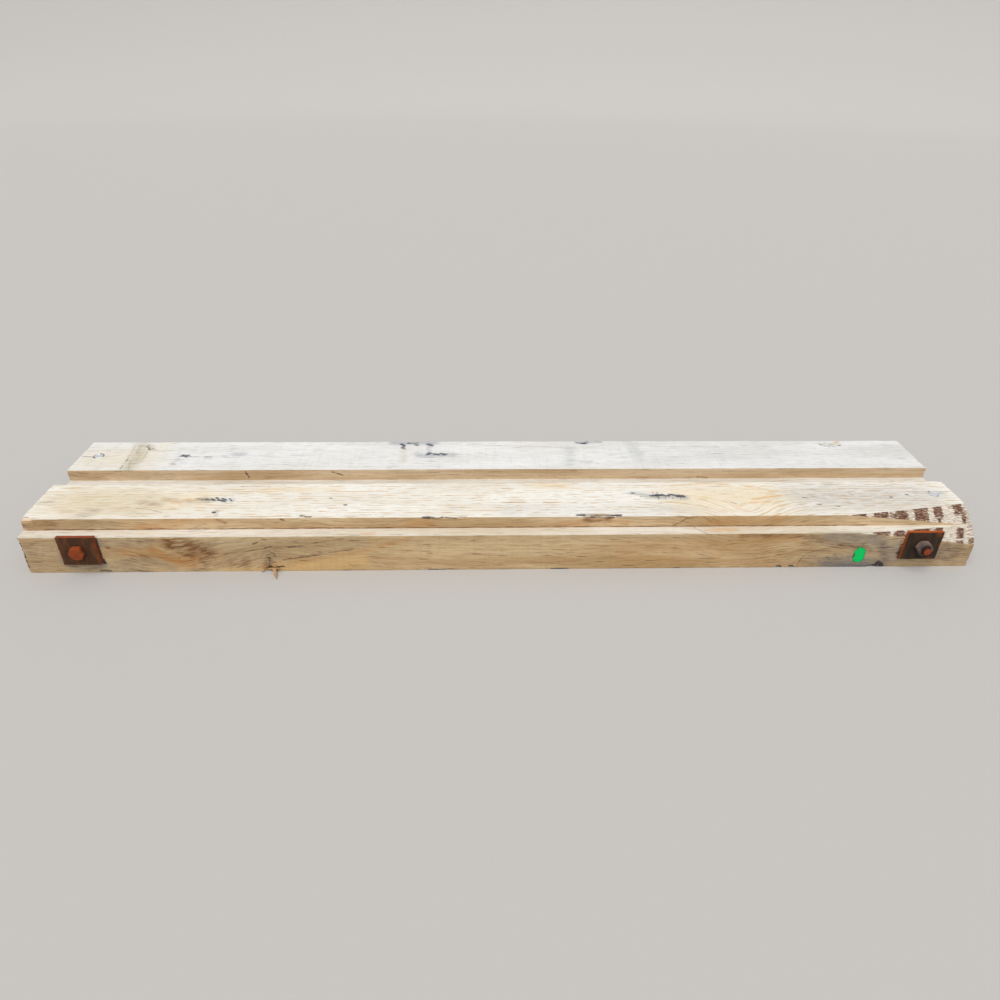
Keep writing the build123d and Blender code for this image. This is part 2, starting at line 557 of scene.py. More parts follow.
    def lay_wane(
        self, b: Board, flat: bpy.types.NodeSocket, sawn: bpy.types.NodeSocket
    ) -> bpy.types.NodeSocket:
        """Lay the wane over the sawn colour where the face is the log's own.

        Args:
            b: The material that it goes into.
            flat: Places on the unrolled surface, in metres.
            sawn: The colour of the sawn face.

        Returns:
            The colour of both together.
        """
        wood, shade = linear(self.wane.wood), linear(self.wane.wood_shade)
        bark, bark_shade = linear(self.wane.bark), linear(self.wane.bark_shade)
        strips = b.add("Mapping", {"Vector": flat, "Scale": (70, 330, 1)})
        torn = b.add("TexNoise", {"Vector": strips, "Scale": 1.0, "Detail": 4.0})
        tatters = b.add("Mapping", {"Vector": flat, "Scale": (50, 290, 1), "Location": (9, 4, 0)})
        shreds = b.add("TexNoise", {"Vector": tatters, "Scale": 1.0, "Detail": 2.0})
        shaded = b.add("MapRange", [torn, 0.44, 0.62, 0.0, 1.0], **SMOOTH)
        wood = b.add("Mix", {0: shaded, 6: wood, 7: shade}, out=2, **COLOURS)
        deep = b.add("MapRange", [torn, 0.4, 0.6, 0.0, 1.0], **SMOOTH)
        bark = b.add("Mix", {0: deep, 6: bark, 7: bark_shade}, out=2, **COLOURS)
        bare = b.add("MapRange", [shreds, 0.53, 0.62, 0.0, 0.75], **SMOOTH)
        bark = b.add("Mix", {0: bare, 6: bark, 7: shade}, out=2, **COLOURS)
        painted = b.add("Attribute", out="Fac", attribute_name="bark")
        uneven = b.add("Math", [shreds, 0.5], **MINUS)
        edge = b.add("Math", [uneven, 3.0, painted], **TIMES_PLUS)
        left_on = b.add("MapRange", [edge, 0.42, 0.56, 0.0, 1.0], **SMOOTH)
        surface = b.add("Mix", {0: left_on, 6: wood, 7: bark}, out=2, **COLOURS)
        beyond = b.add("Attribute", out="Fac", attribute_name="beyond")
        log_face = b.add("MapRange", [beyond, -0.35, 0.0, 0.0, 1.0], **SMOOTH)
        return b.add("Mix", {0: log_face, 6: sawn, 7: surface}, out=2, **COLOURS)


@dataclass(frozen=True)
class EndGrainFinish:
    """Oak cut across: rings about the log's heart, rays and drying checks that run out from it.

    The rings are 4.5 mm apart, as in oak that grew fast.
    """

    name: str
    heart_y: float
    heart_z: float
    light: str = "#c9a676"
    deep: str = "#a8845a"
    ring: str = "#7d5c3b"
    ray: str = "#dcc39b"
    check: str = "#3a2c20"
    ring_gap: float = 4.5

    def build(self) -> bpy.types.Material:
        """Make the material.

        Returns:
            The finished end grain.
        """
        b = Board(self.name)
        x = b.add("SeparateXYZ", [b.add("TexCoord", out="Object")])
        y = b.add("Math", [x.node.outputs[1], self.heart_y * MM], **MINUS)
        z = b.add("Math", [x.node.outputs[2], self.heart_z * MM], **MINUS)
        radius = b.add("VectorMath", [b.add("CombineXYZ", [y, z])], out="Value", operation="LENGTH")
        angle = b.add("Math", [y, z], operation="ARCTAN2")
        polar = b.add("CombineXYZ", [radius, angle])
        noise = {}
        for name, scale in (
            ("cloud", (25, 9, 1)),
            ("ray", (16, 110, 1)),
            ("check", (14, 26, 1)),
            ("pore", (500, 260, 1)),
        ):
            drawn = b.add("Mapping", {"Vector": polar, "Scale": scale})
            noise[name] = b.add("TexNoise", {"Vector": drawn, "Scale": 1.0, "Detail": 3.0})
        sway = b.add("Math", [noise["cloud"], 9.0], **TIMES)
        phase = b.add("Math", [radius, math.tau * 1000 / self.ring_gap, sway], **TIMES_PLUS)
        wave = b.add("Math", [phase], operation="SINE")
        checks = b.add("MapRange", [noise["check"], 0.68, 0.72, 0.0, 0.9], **SMOOTH)
        colour = linear(self.light)
        for amount, tone in (
            (b.add("MapRange", [noise["cloud"], 0.4, 0.65, 0.0, 1.0], **SMOOTH), self.deep),
            (b.add("MapRange", [wave, 0.0, 1.0, 0.0, 0.5], **SMOOTH), self.ring),
            (b.add("MapRange", [noise["ray"], 0.52, 0.7, 0.0, 0.4], **SMOOTH), self.ray),
            (b.add("MapRange", [noise["pore"], 0.5, 0.75, 0.0, 0.6], **SMOOTH), self.ring),
            (checks, self.check),
        ):
            colour = b.add("Mix", {0: amount, 6: colour, 7: linear(tone)}, out=2, **COLOURS)
        relief = b.add("Math", [checks, -1.0, noise["pore"]], **TIMES_PLUS)
        return b.finish({
            "Base Color": colour,
            "Roughness": 0.9,
            "Specular IOR Level": 0.2,
            "Normal": b.add("Bump", {"Strength": 0.5, "Distance": 1.0 * MM, "Height": relief}),
        })


@dataclass(frozen=True)
class RustFinish:
    """Steel that has rusted in the open: dull brown scale, powdery orange where rain runs off.

    Its grit is drawn 2.5 mm across, some five times coarser than real, so that it shows. The
    attribute fresh is 1 where the rust is new and below 0 where the steel is darkened, by grime and by
    painted shade.
    """

    name: str
    scale: str
    rust: str
    fresh: str
    # The colour of grime, and of painted shade around and on the bolts and nuts
    grime_and_shade: str = "#1c1514"

    def build(self) -> bpy.types.Material:
        """Make the material.

        Returns:
            The finished rusted steel.
        """
        b = Board(self.name)
        place = b.add("TexCoord", out="Object")
        runs = b.add("Mapping", {"Vector": place, "Scale": (75, 40, 22)})
        cloud = b.add("TexNoise", {"Vector": runs, "Scale": 1.0, "Detail": 5.0})
        grit = b.add("TexNoise", {"Vector": place, "Scale": 400.0, "Detail": 3.0})
        painted = b.add("Attribute", out="Fac", attribute_name="fresh")
        uneven = b.add("Math", [grit, 0.5], **MINUS)
        fresh = b.add("Math", [uneven, 1.2, painted], **TIMES_PLUS)
        colour = linear(self.scale)
        for amount, tone in (
            (b.add("MapRange", [cloud, 0.4, 0.62, 0.0, 1.0], **SMOOTH), self.rust),
            (b.add("MapRange", [fresh, 0.25, 0.75, 0.0, 1.0], **SMOOTH), self.fresh),
            (b.add("MapRange", [grit, 0.52, 0.75, 0.0, 0.45], **SMOOTH), self.scale),
            # Dark where fresh is below 0: grime, and painted shade
            (b.add("MapRange", [fresh, -0.05, -0.8, 0.0, 0.85], **SMOOTH), self.grime_and_shade),
        ):
            colour = b.add("Mix", {0: amount, 6: colour, 7: linear(tone)}, out=2, **COLOURS)
        return b.finish({
            "Base Color": colour,
            "Roughness": 0.82,
            "Specular IOR Level": 0.3,
            "Normal": b.add("Bump", {"Strength": 0.6, "Distance": 0.6 * MM, "Height": grit}),
        })


@dataclass(frozen=True)
class NailFinish:
    """Aluminium, stamped and hammered in: bright, with a fine dull grain. The dark ring at its rim is painted
    shadow, laid on the oak.
    """

    name: str
    metal: str = "#fbfcff"
    dull: str = "#d3dae3"

    def build(self) -> bpy.types.Material:
        """Make the material.

        Returns:
            The finished aluminium.
        """
        b = Board(self.name)
        place = b.add("TexCoord", out="Object")
        grain = b.add("TexNoise", {"Vector": place, "Scale": 260.0, "Detail": 4.0})
        worn = b.add("MapRange", [grain, 0.42, 0.68, 0.0, 1.0], **SMOOTH)
        colour = b.add("Mix", {0: worn, 6: linear(self.metal), 7: linear(self.dull)}, out=2, **COLOURS)
        return b.finish({
            "Base Color": colour,
            "Metallic": 1.0,
            "Roughness": b.add("MapRange", [grain, 0.3, 0.7, 0.45, 0.7], **SMOOTH),
            "Normal": b.add("Bump", {"Strength": 0.3, "Distance": 0.3 * MM, "Height": grain}),
        })


# The sleepers


@dataclass(frozen=True)
class Stain:
    """A discoloured place: what it is, the path it follows, its half width and how strong it is."""

    mark: Mark
    path: Sequence[Point]
    reach: float
    strength: float = 1.0

    def scale(self) -> Point:
        """Let the stain's path reach far along the face that it lies on, and little off it."""
        if {point[2] for point in self.path} <= {115, 150}:
            return 1, 1, 5
        return (1, 5, 1) if len({point[1] for point in self.path}) == 1 else (1, 1, 1)


@dataclass(frozen=True)
class Knot:
    """Where the grain bends: its middle, how far along and across it reaches, and how it bends.

    Push lifts the grain by so many millimetres, and spread opens it around the middle.
    """

    place: Point
    along: float
    across: float
    push: float = 0.0
    spread: float = 0.0


@dataclass(frozen=True)
class Dent:
    """Wood that is missing: the path it follows, its half width, and how far in it goes."""

    path: Sequence[Point]
    reach: float
    into: Point
    rough: float = 0.4


@dataclass(frozen=True)
class Log:
    """The tapering log that a sleeper was sawn from: its heart and its surface, in millimetres.

    Its ends stand out past the sleeper's by the spare length.
    """

    heart_y: float = -91.3
    heart_z: float = -41.5
    end_radius: float = 204.8
    taper: float = 0.0768
    spare: float = 40.0

    def beyond(self, places: np.ndarray) -> np.ndarray:
        """How far each place lies outside the log, in millimetres."""
        depth = np.hypot(places[:, 1] / MM - self.heart_y, places[:, 2] / MM - self.heart_z)
        return depth - self.end_radius - self.taper * (HALF_LENGTH - places[:, 0] / MM)

    def model(self) -> bpy.types.Object:
        """The log as a solid, with fine faces where its surface is left on the sleeper.

        Returns:
            A cone along X, left in object mode.
        """
        ends = HALF_LENGTH + self.spare
        piece = start(
            "log",
            bpy.ops.mesh.primitive_cone_add,
            vertices=360,
            radius1=(self.end_radius + self.taper * (HALF_LENGTH + ends)) * MM,
            radius2=(self.end_radius + self.taper * (HALF_LENGTH - ends)) * MM,
            depth=2 * ends * MM,
            location=(0, self.heart_y * MM, self.heart_z * MM),
            rotation=(0, math.pi / 2, 0),
        )
        bpy.ops.mesh.select_all(action="SELECT")
        bpy.ops.mesh.bisect(plane_co=(0.9, 0, 0), plane_no=(1, 0, 0))
        pick(
            piece,
            "EDGE",
            lambda e: min(v.co.x for v in e.verts) > 0.89
            and abs(e.verts[0].co.x - e.verts[1].co.x) > 0.1
            and max(v.co.y for v in e.verts) < -0.15
            and min(v.co.z for v in e.verts) > 0.03,
        )
        bpy.ops.mesh.subdivide(number_cuts=130)
        bpy.ops.object.mode_set(mode="OBJECT")
        return piece


def reach_along(edge: bmesh.types.BMEdge, axis: int) -> int:
    """How far an edge reaches along one axis, in whole millimetres."""
    return abs(round((edge.verts[1].co - edge.verts[0].co)[axis] / MM))


@dataclass
class Sleeper:
    """One sawn and stepped sleeper, modelled from a block.

    Its cells are the quads that its surface is divided into. The nail, the dents and the marks
    narrower than narrow_mark get quads half as large, and those that reach less than wide_detail
    quads half as large again.
    """

    name: str
    node: str
    nail: Point
    finishes: dict[Zone, bpy.types.Material]
    log: Log | None = None
    knots: Sequence[Knot] = ()
    stains: Sequence[Stain] = ()
    dents: Sequence[Dent] = ()
    bark: Sequence[tuple[float, float, float, float]] = ()
    step_depth: float = 35.0
    outer_step: float = 37.0
    inner_step: float = 41.0
    bolt_from_end: float = 155.0
    bolt_height: float = 78.0
    bore_radius: float = 13.0
    cells: Point = (8.1, 6.1, 6.1)
    narrow_mark: float = 9.0
    wide_detail: float = 30.0
    around_mark: float = 4.0
    around_dent: float = 6.0
    around_nail: float = 22.0
    most_parts: int = 40
    seed: int = 1
    piece: bpy.types.Object = field(init=False)

    def build(self) -> bpy.types.Object:
        """Model, wear, paint and dress the sleeper.

        Returns:
            The finished piece.
        """
        self.low, self.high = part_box(self.node)
        self.front = self.low.y < -MM
        self.ledge = self.high.z - self.step_depth * MM
        width = (self.high.y - self.low.y) / MM
        side = -1 if self.front else 1
        self.ridge = sorted((side * self.inner_step * MM, side * (width - self.outer_step) * MM))
        self.rough_out()
        self.divide()
        if self.log:
            carve(self.piece, self.log.model(), "INTERSECT")
        self.drill()
        places = coordinates(self.piece)
        self.paint_grain(places)
        self.paint_marks(places)
        zones = [self.zone(face) for face in self.piece.data.polygons]
        self.wear(places)
        for zone in Zone:
            self.piece.data.materials.append(self.finishes.get(zone, self.finishes[Zone.SIDE]))
        for face, zone in zip(self.piece.data.polygons, zones):
            face.material_index = zone.value
        return hand_over(self.piece, self.node)

    def rough_out(self) -> None:
        """A block as high as the ledges, cut along the ridge's sides, and its middle raised."""
        middle = (self.low + self.high) / 2
        self.piece = start(
            self.name,
            bpy.ops.mesh.primitive_cube_add,
            size=1,
            location=(middle.x, middle.y, self.ledge / 2),
            scale=(self.high.x - self.low.x, self.high.y - self.low.y, self.ledge),
        )
        for y in self.ridge:
            bpy.ops.mesh.select_all(action="SELECT")
            bpy.ops.mesh.bisect(plane_co=(0, y, 0), plane_no=(0, 1, 0))
        pick(
            self.piece,
            "FACE",
            lambda f: f.normal.z > 0.9 and self.ridge[0] < f.calc_center_median().y < self.ridge[1],
        )
        bpy.ops.mesh.extrude_region_move(TRANSFORM_OT_translate={"value": (0, 0, self.step_depth * MM)})

    def divide(self) -> None:
        """Divide the surface into quads of 8 by 6 mm, and into finer ones where it has detail.

        The long way goes in two rounds: where it takes more than most_parts, first into as many
        parts as each of them is then divided into.
        """
        for axis, cell in enumerate(self.cells):
            rounds = 2 if axis == 0 else 1
            for _ in range(rounds):
                shape = bmesh.from_edit_mesh(self.piece.data)
                for span in sorted({reach_along(edge, axis) for edge in shape.edges}):
                    parts = round(span / cell)
                    if rounds == 2 and parts > self.most_parts:
                        parts = round(math.sqrt(parts))
                    if parts > 1:
                        pick(self.piece, "EDGE", lambda e: reach_along(e, axis) == span)
                        bpy.ops.mesh.subdivide(number_cuts=parts - 1)
        narrow = [stain for stain in self.stains if stain.reach < self.narrow_mark]
        fine = [(stain.path, stain.reach + self.around_mark) for stain in narrow]
        fine += [(dent.path, dent.reach + self.around_dent) for dent in self.dents]
        fine.append(([self.nail], self.around_nail))
        for most in (math.inf, self.wide_detail):
            shape = bmesh.from_edit_mesh(self.piece.data)
            shape.faces.ensure_lookup_table()
            centres = np.array([face.calc_center_median() for face in shape.faces])
            near = np.zeros(len(centres), dtype=bool)
            for path, reach in fine:
                if reach < most:
                    near |= near_path(centres, path) < reach
            pick(self.piece, "FACE", lambda f: near[f.index])
            bpy.ops.mesh.subdivide(number_cuts=1)
        bpy.ops.object.mode_set(mode="OBJECT")

    def drill(self) -> None:
        """Bore the two holes for the tie bolts."""
        across = (self.low.y + self.high.y) / 2
        for end in (-1, 1):
            along = (HALF_LENGTH - self.bolt_from_end) * end * MM
            bore(self.piece, (along, across, self.bolt_height * MM), self.bore_radius, 300.0, 32)

    def paint_grain(self, places: np.ndarray) -> None:
        """Store how far the grain is bent at each vertex, in metres."""
        unrolled = places[:, 1] + places[:, 2]
        bend = np.zeros(len(places))
        for knot in self.knots:
            away = (places / MM - np.array(knot.place)) / np.array((knot.along, knot.across, knot.across))
            share = np.exp(-(away**2).sum(axis=1) / 2)
            middle = (knot.place[1] + knot.place[2]) * MM
            bend -= share * (knot.push * MM + knot.spread * (unrolled - middle))
        paint(self.piece, "bend", bend)

    def paint_marks(self, places: np.ndarray) -> None:
        """Store the strength of each kind of mark at each vertex, uneven as in real stains."""
        sway = np.column_stack([ripple(places, (20, 7, 7), seed) for seed in (31, 32, 34)])
        tone = 1 - 0.14 * (1 + ripple(places, (18, 6, 6), 33))
        for mark in Mark:
            amount = np.zeros(len(places))
            for stain in self.stains:
                if stain.mark is mark:
                    scale = stain.scale()
                    moved = places + sway * np.equal(scale, 1) * min(0.5 * stain.reach, 4.0) * MM
                    distance = near_path(moved, stain.path, scale) / stain.reach
                    strength = stain.strength * (1 if mark is Mark.PAINT else tone)
                    amount = np.maximum(amount, strength * (1 - ease(distance, 0.0, 1.5)))
            paint(self.piece, mark.value, amount)
        if self.log:
            paint(self.piece, "beyond", np.clip(self.log.beyond(places), -5, 5))
            rubbed = 0.38 * ease(places[:, 0] / MM, 1260, 1288)
            patches = np.maximum(rubbed, 0.12 + 0.12 * ripple(places, (30, 12, 12), 19))
            x = places[:, 0] / MM + 4 * ripple(places, (15, 4, 4), 3)
            z = places[:, 2] / MM + 3 * ripple(places, (8, 8, 8), 4)
            for left, right, low, high in self.bark:
                lean = 0.18 * (z - (low + high) / 2)
                inside = np.minimum.reduce([x - lean - left, right - x + lean, z - low, high - z])
                patches = np.maximum(patches, ease(inside, -5, 5))
            paint(self.piece, "bark", patches)

    def zone(self, face: bpy.types.MeshPolygon) -> Zone:
        """Which kind of surface a face of the clean blank belongs to."""
        if abs(face.normal.x) > 0.7:
            return Zone.END
        if max(abs(face.normal.y), abs(face.normal.z)) < 0.97:
            return Zone.WANE
        if face.normal.z > 0.7:
            if face.center.z > self.high.z - 10 * MM:
                return Zone.TOP
            return Zone.GROOVE if abs(face.center.y) < 0.1 else Zone.LEDGE
        if abs(face.normal.y) > 0.7 and face.center.z > self.ledge:
            return Zone.RISER
        return Zone.SIDE

    def wear(self, places: np.ndarray) -> None:
        """Take wood away where it is worn, torn, chipped or missing, always inwards."""
        moved = places.copy()
        self.round_arrises(places, moved)
        self.tear_ends(places, moved)
        for dent in self.dents:
            share = 1 - ease(near_path(places, dent.path) / dent.reach, 0.15, 1)
            share *= 1 - dent.rough * 0.5 * (1 + ripple(places, (9, 3, 3), 21))
            moved += share[:, None] * np.array(dent.into) * MM
        if self.log:
            self.strip_wane(places, moved)
        put_back(self.piece, np.clip(moved, np.array(self.low), np.array(self.high)))

    def round_arrises(self, places: np.ndarray, moved: np.ndarray) -> None:
        """Rub the six long arrises down unevenly, by 1 mm or so."""
        arrises = [(y, z) for y in (self.low.y, self.high.y) for z in (0, self.ledge)]
        arrises += [(y, self.high.z) for y in self.ridge]
        middle = (self.low.y + self.high.y) / 2
        long_waves = 0.6 * ripple(places, (38, 30, 30), self.seed)
        short_waves = 0.3 * ripple(places, (11, 9, 9), 2)
        for y, z in arrises:
            close = np.hypot(places[:, 1] - y, places[:, 2] - z)
            amount = (0.7 + long_waves + short_waves) * MM
            amount *= (1 - ease(close, 0, 6 * MM)) / math.sqrt(2)
            moved[:, 1] += np.where(y < middle, 1, -1) * np.abs(amount)
            moved[:, 2] += np.where(z > 0.01, -1, 1) * np.abs(amount)

    def tear_ends(self, places: np.ndarray, moved: np.ndarray) -> None:
        """Leave the sawn ends ragged, most of all along their rims."""
        inset = np.minimum.reduce([
            places[:, 1] - self.low.y,
            self.high.y - places[:, 1],
            places[:, 2],
            self.high.z - places[:, 2],
        ])
        for end in (-1, 1):
            close = np.abs(places[:, 0] - end * self.high.x) < 0.1 * MM
            torn = 0.7 + 0.7 * ripple(places, (40, 13, 9), self.seed + 7)
            torn += 0.6 * ripple(places, (9, 5, 4), 9)
            ragged = np.clip(ripple(places, (9, 9, 7), 12) + 0.3, 0, 1)
            torn += 2.2 * (1 - ease(inset, 0, 5 * MM)) * ragged
            moved[:, 0] -= close * end * np.clip(torn, 0, 5) * MM

    def strip_wane(self, places: np.ndarray, moved: np.ndarray) -> None:
        """Sink the log's own surface a little where no bark is left on it."""
        bark = np.empty(len(places), dtype=np.float32)
        self.piece.data.attributes["bark"].data.foreach_get("value", bark)
        depth = (1.4 * (1 - bark) + 0.5 + 0.5 * ripple(places, (25, 3, 3), 14)) * MM
        inward = np.zeros_like(places)
        inward[:, 1] = self.log.heart_y * MM - places[:, 1]
        inward[:, 2] = self.log.heart_z * MM - places[:, 2]
        inward /= np.linalg.norm(inward, axis=1)[:, None]
        moved += inward * (depth * (self.log.beyond(places) > -0.05))[:, None]


@dataclass(frozen=True)
class Splinter:
    """One torn sliver of wood, from its root to its tip, in millimetres."""

    root: Point
    tip: Point
    width: float
    thickness: float
    curl: float = 0.0


@dataclass(frozen=True)
class TornKnot:
    """The slivers that stand out where a knot was torn from the front sleeper's lower edge."""

    splinters: Sequence[Splinter]
    steps: int = 5

    def build(self, finish: bpy.types.Material) -> bpy.types.Object:
        """Draw each sliver out from a small flat end, and join them all.

        Args:
            finish: The oak that they are of.

        Returns:
            The finished piece.
        """
        slivers = [self.draw_out(number, splinter) for number, splinter in enumerate(self.splinters)]
        deselect()
        for sliver in slivers:
            sliver.select_set(True)
        bpy.context.view_layer.objects.active = slivers[0]
        bpy.ops.object.join()
        piece = bpy.context.object
        piece.name = piece.data.name = "torn_knot_splinters"
        for mark, amount in ((Mark.AMBER, 0.5), (Mark.BROWN, 0.2)):
            paint(piece, mark.value, amount * (0.6 + 0.4 * ripple(coordinates(piece), (9, 9, 9), 5)))
        paint(piece, "beyond", np.full(len(piece.data.vertices), -5.0))
        dress(piece, finish, 50)
        return hand_over(piece, None)

    def draw_out(self, number: int, splinter: Splinter) -> bpy.types.Object:
        """Extrude one sliver from its root to its tip, thinner at every step.

        Args:
            number: Sets how the sliver wavers.
            splinter: Its place and size.

        Returns:
            The sliver, in object mode.
        """
        root, tip = Vector(splinter.root) * MM, Vector(splinter.tip) * MM
        run = tip - root
        piece = start(
            f"splinter_{number}",
            bpy.ops.mesh.primitive_cube_add,
            size=1,
            location=root,
            rotation=run.to_track_quat("Z", "Y").to_euler(),
            scale=(splinter.width * MM, splinter.thickness * MM, 1.0 * MM),
        )
        outward = run.normalized()
        pick(piece, "FACE", lambda f: f.normal.dot(outward) > 0.9)
        for step in range(1, self.steps + 1):
            share = step / self.steps
            waver = Vector((math.sin(2.3 * step + number), 0, math.cos(1.9 * step + 2 * number)))
            waver = waver * 0.7 * MM
            curl = Vector((0, 0, splinter.curl * MM * (2 * share - 1) / self.steps))
            move = run / self.steps + waver + curl
            bpy.ops.mesh.extrude_region_move(TRANSFORM_OT_translate={"value": move})
            shrink = 0.93 if step < self.steps - 1 else 0.5
            bpy.ops.transform.resize(value=(shrink, shrink, shrink))
        bpy.ops.object.mode_set(mode="OBJECT")
        bevel(piece, 0.25, 1, 50)
        return piece


# Steel and nails


@dataclass
class PlateWasher:
    """A thick plate washer, flame-cut, with rough edges that have rusted orange.

    Each patch on its face is a place right and up of its middle, a reach and a share of fresh rust; a share
    below 0 darkens the plate instead, as grime and as painted shadow.
    """

    node: str
    finish: bpy.types.Material
    fresh_edges: dict[Edge, float]
    fresh_face: float = 0.0
    patches: Sequence[tuple[float, float, float, float]] = ()
    bore_radius: float = 13.0

    def build(self) -> bpy.types.Object:
        """Model and dress the plate.

        Returns:
            The finished piece.
        """
        low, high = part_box(self.node)
        middle, size = (low + high) / 2, high - low
        name = self.node + "_washer"
        piece = start(name, bpy.ops.mesh.primitive_cube_add, size=1, location=middle, scale=size)
        bpy.ops.mesh.select_all(action="SELECT")
        for axis, cuts in ((0, 17), (2, 15), (1, 2)):
            pick(piece, "EDGE", lambda e: abs((e.verts[0].co - e.verts[1].co)[axis]) > 0.9 * size[axis])
            bpy.ops.mesh.subdivide(number_cuts=cuts)
        bore(piece, middle, self.bore_radius, 50.0, 40)
        bevel(piece, 1.2, 2, 60)
        self.rust(piece, middle)
        self.roughen(piece, low, high)
        dress(piece, self.finish, 35)
        return hand_over(piece, self.node)

    def rust(self, piece: bpy.types.Object, middle: Vector) -> None:
        """Store the share of fresh rust on each face."""
        fresh = []
        for face in piece.data.polygons:
            edges = [share for edge, share in self.fresh_edges.items() if face.normal.dot(edge.value) > 0.6]
            amount = self.fresh_face
            away = (face.center - middle) / MM
            for right, up, reach, strength in self.patches:
                amount += strength * math.exp(-math.hypot(away.x - right, away.z - up) ** 2 / reach**2)
            fresh.append(max(edges, default=amount))
        layer = piece.data.attributes.new("fresh", "FLOAT", "FACE")
        layer.data.foreach_set("value", fresh)

    def roughen(self, piece: bpy.types.Object, low: Vector, high: Vector) -> None:
        """Notch the flame-cut edges, and pit the outer face."""
        middle, size = (low + high) / 2, high - low
        places = coordinates(piece)
        off = places - np.array(middle)
        inset = np.minimum.reduce([
            places[:, 0] - low.x,
            high.x - places[:, 0],
            places[:, 2] - low.z,
            high.z - places[:, 2],
        ])
        notch = (1 - ease(inset, 0, 6 * MM)) * (0.5 + 0.5 * ripple(places, (7, 30, 7), 17)) * 1.3 * MM
        moved = places.copy()
        for axis in (0, 2):
            outer = np.abs(off[:, axis]) > 0.4 * size[axis]
            moved[:, axis] -= np.sign(off[:, axis]) * notch * outer
        outward = math.copysign(1, middle.y)
        face = outward * off[:, 1] > 0.3 * size.y
        moved[:, 1] -= outward * face * (0.3 + 0.3 * ripple(places, (16, 16, 16), 8)) * MM
        put_back(piece, moved)


@dataclass(frozen=True)
class Fastener:
    """What a tie bolt's head and its nut have in common: turned first, then cut to six flats.

    What is turned reaches past the hexagon's corners by the spare radius.
    """

    across_flats: float = 36.0
    spare: float = 0.4
    bevel_inside: float = 0.9
    bevel_angle: float = 30.0
    thread_radius: float = 12.0
    pitch: float = 3.0
    thread_depth: float = 1.6

    def corner(self) -> float:
        """Radius that the piece is turned to."""
        return self.across_flats / math.sqrt(3) + self.spare

    def rim(self, height: float, towards: int) -> list[tuple[float, float]]:
        """Two points that bevel a hexagon's corners, at a face that looks out (1) or in (-1)."""
        inner = self.across_flats / 2 - self.bevel_inside
        depth = (self.corner() - inner) * math.tan(math.radians(self.bevel_angle))
        return [(self.corner(), height - towards * depth), (inner, height)]

    def cut_flats(self, piece: bpy.types.Object, seat: Vector) -> None:
        """Cut six flats on the turned piece, with one pair level, and round its edges a little."""
        for side in range(6):
            angle = math.pi / 6 + side * math.pi / 3
            outward = Vector((math.cos(angle), 0, math.sin(angle)))
            bpy.ops.mesh.select_all(action="SELECT")
            bpy.ops.mesh.bisect(
                plane_co=seat + outward * self.across_flats / 2 * MM,
                plane_no=outward,
                use_fill=True,
                clear_outer=True,
            )
        bpy.ops.object.mode_set(mode="OBJECT")
        bevel(piece, 0.35, 2, 25)


@dataclass(frozen=True)
class TieBolt(Fastener):
    """A hexagon-head bolt through both sleepers, with its thread cut where the nut goes."""

    head_thickness: float = 15.0
    seat_radius: float = 16.8
    seat_thickness: float = 0.8
    shank_length: float = 570.0
    thread_length: float = 48.0
    end_chamfer: float = 2.5
    end_groove: float = 0.9
    dish_radius: float = 13.0
    dish_depth: float = 0.35

    def build(
        self, node: str, seat: Vector, outward: int, finish: bpy.types.Material
    ) -> bpy.types.Object:
        """Model and dress one bolt.

        Args:
            node: The CAD node that it stands for.
            seat: Where its head meets the plate.
            outward: 1 where its head looks towards +Y, or -1.
            finish: Its rust.

        Returns:
            The finished piece.
        """
        tip = -self.shank_length
        root = self.thread_radius - self.thread_depth
        outline = [(0.0, tip), (self.thread_radius - self.end_chamfer, tip), (root, tip + self.end_groove)]
        crest = tip + self.end_chamfer
        while crest < tip + self.thread_length:
            outline += [(self.thread_radius, crest), (root, crest + self.pitch / 2)]
            crest += self.pitch
        outline += [
            (self.thread_radius, crest),
            (self.thread_radius, 0.0),
            (self.seat_radius, 0.0),
            (self.seat_radius, self.seat_thickness),
            (self.corner(), self.seat_thickness),
            *self.rim(self.head_thickness, 1),
            (self.dish_radius, self.head_thickness - self.dish_depth),
            (0.0, self.head_thickness - self.dish_depth),
        ]
        piece = spin_outline(node + "_steel", outline, seat, outward)
        self.cut_flats(piece, seat)
        paint(piece, "fresh", self.fresh_rust(coordinates(piece), seat, outward))
        dress(piece, finish, 30)
        return hand_over(piece, node)

    def fresh_rust(self, places: np.ndarray, seat: Vector, outward: int) -> np.ndarray:
        """The share of fresh rust at each place: most at the head's rim and the thread's end, and below 0 on
        the head's flats towards +X, as painted shade.
        """
        out = outward * (places[:, 1] - seat.y) / MM
        radius = np.hypot(places[:, 0] - seat.x, places[:, 2] - seat.z) / MM
        head = 0.05 + 0.35 * ease(out, 9, 14) + 0.4 * ease(radius, 8, 15)
        head += 0.65 * ripple(places, (7, 7, 7), 6)
        # Painted shade: the head's flats towards +X go dark.
        head -= 0.7 * ease((places[:, 0] - seat.x) / MM, 13, 17) * (out < 13)
        end = (out < 0.6 - self.shank_length) & (radius < 10)
        middle = 0.85 + 0.5 * ripple(places, (5, 5, 5), 15)
        return np.where(out > -1, head, np.where(end, middle, -0.6))


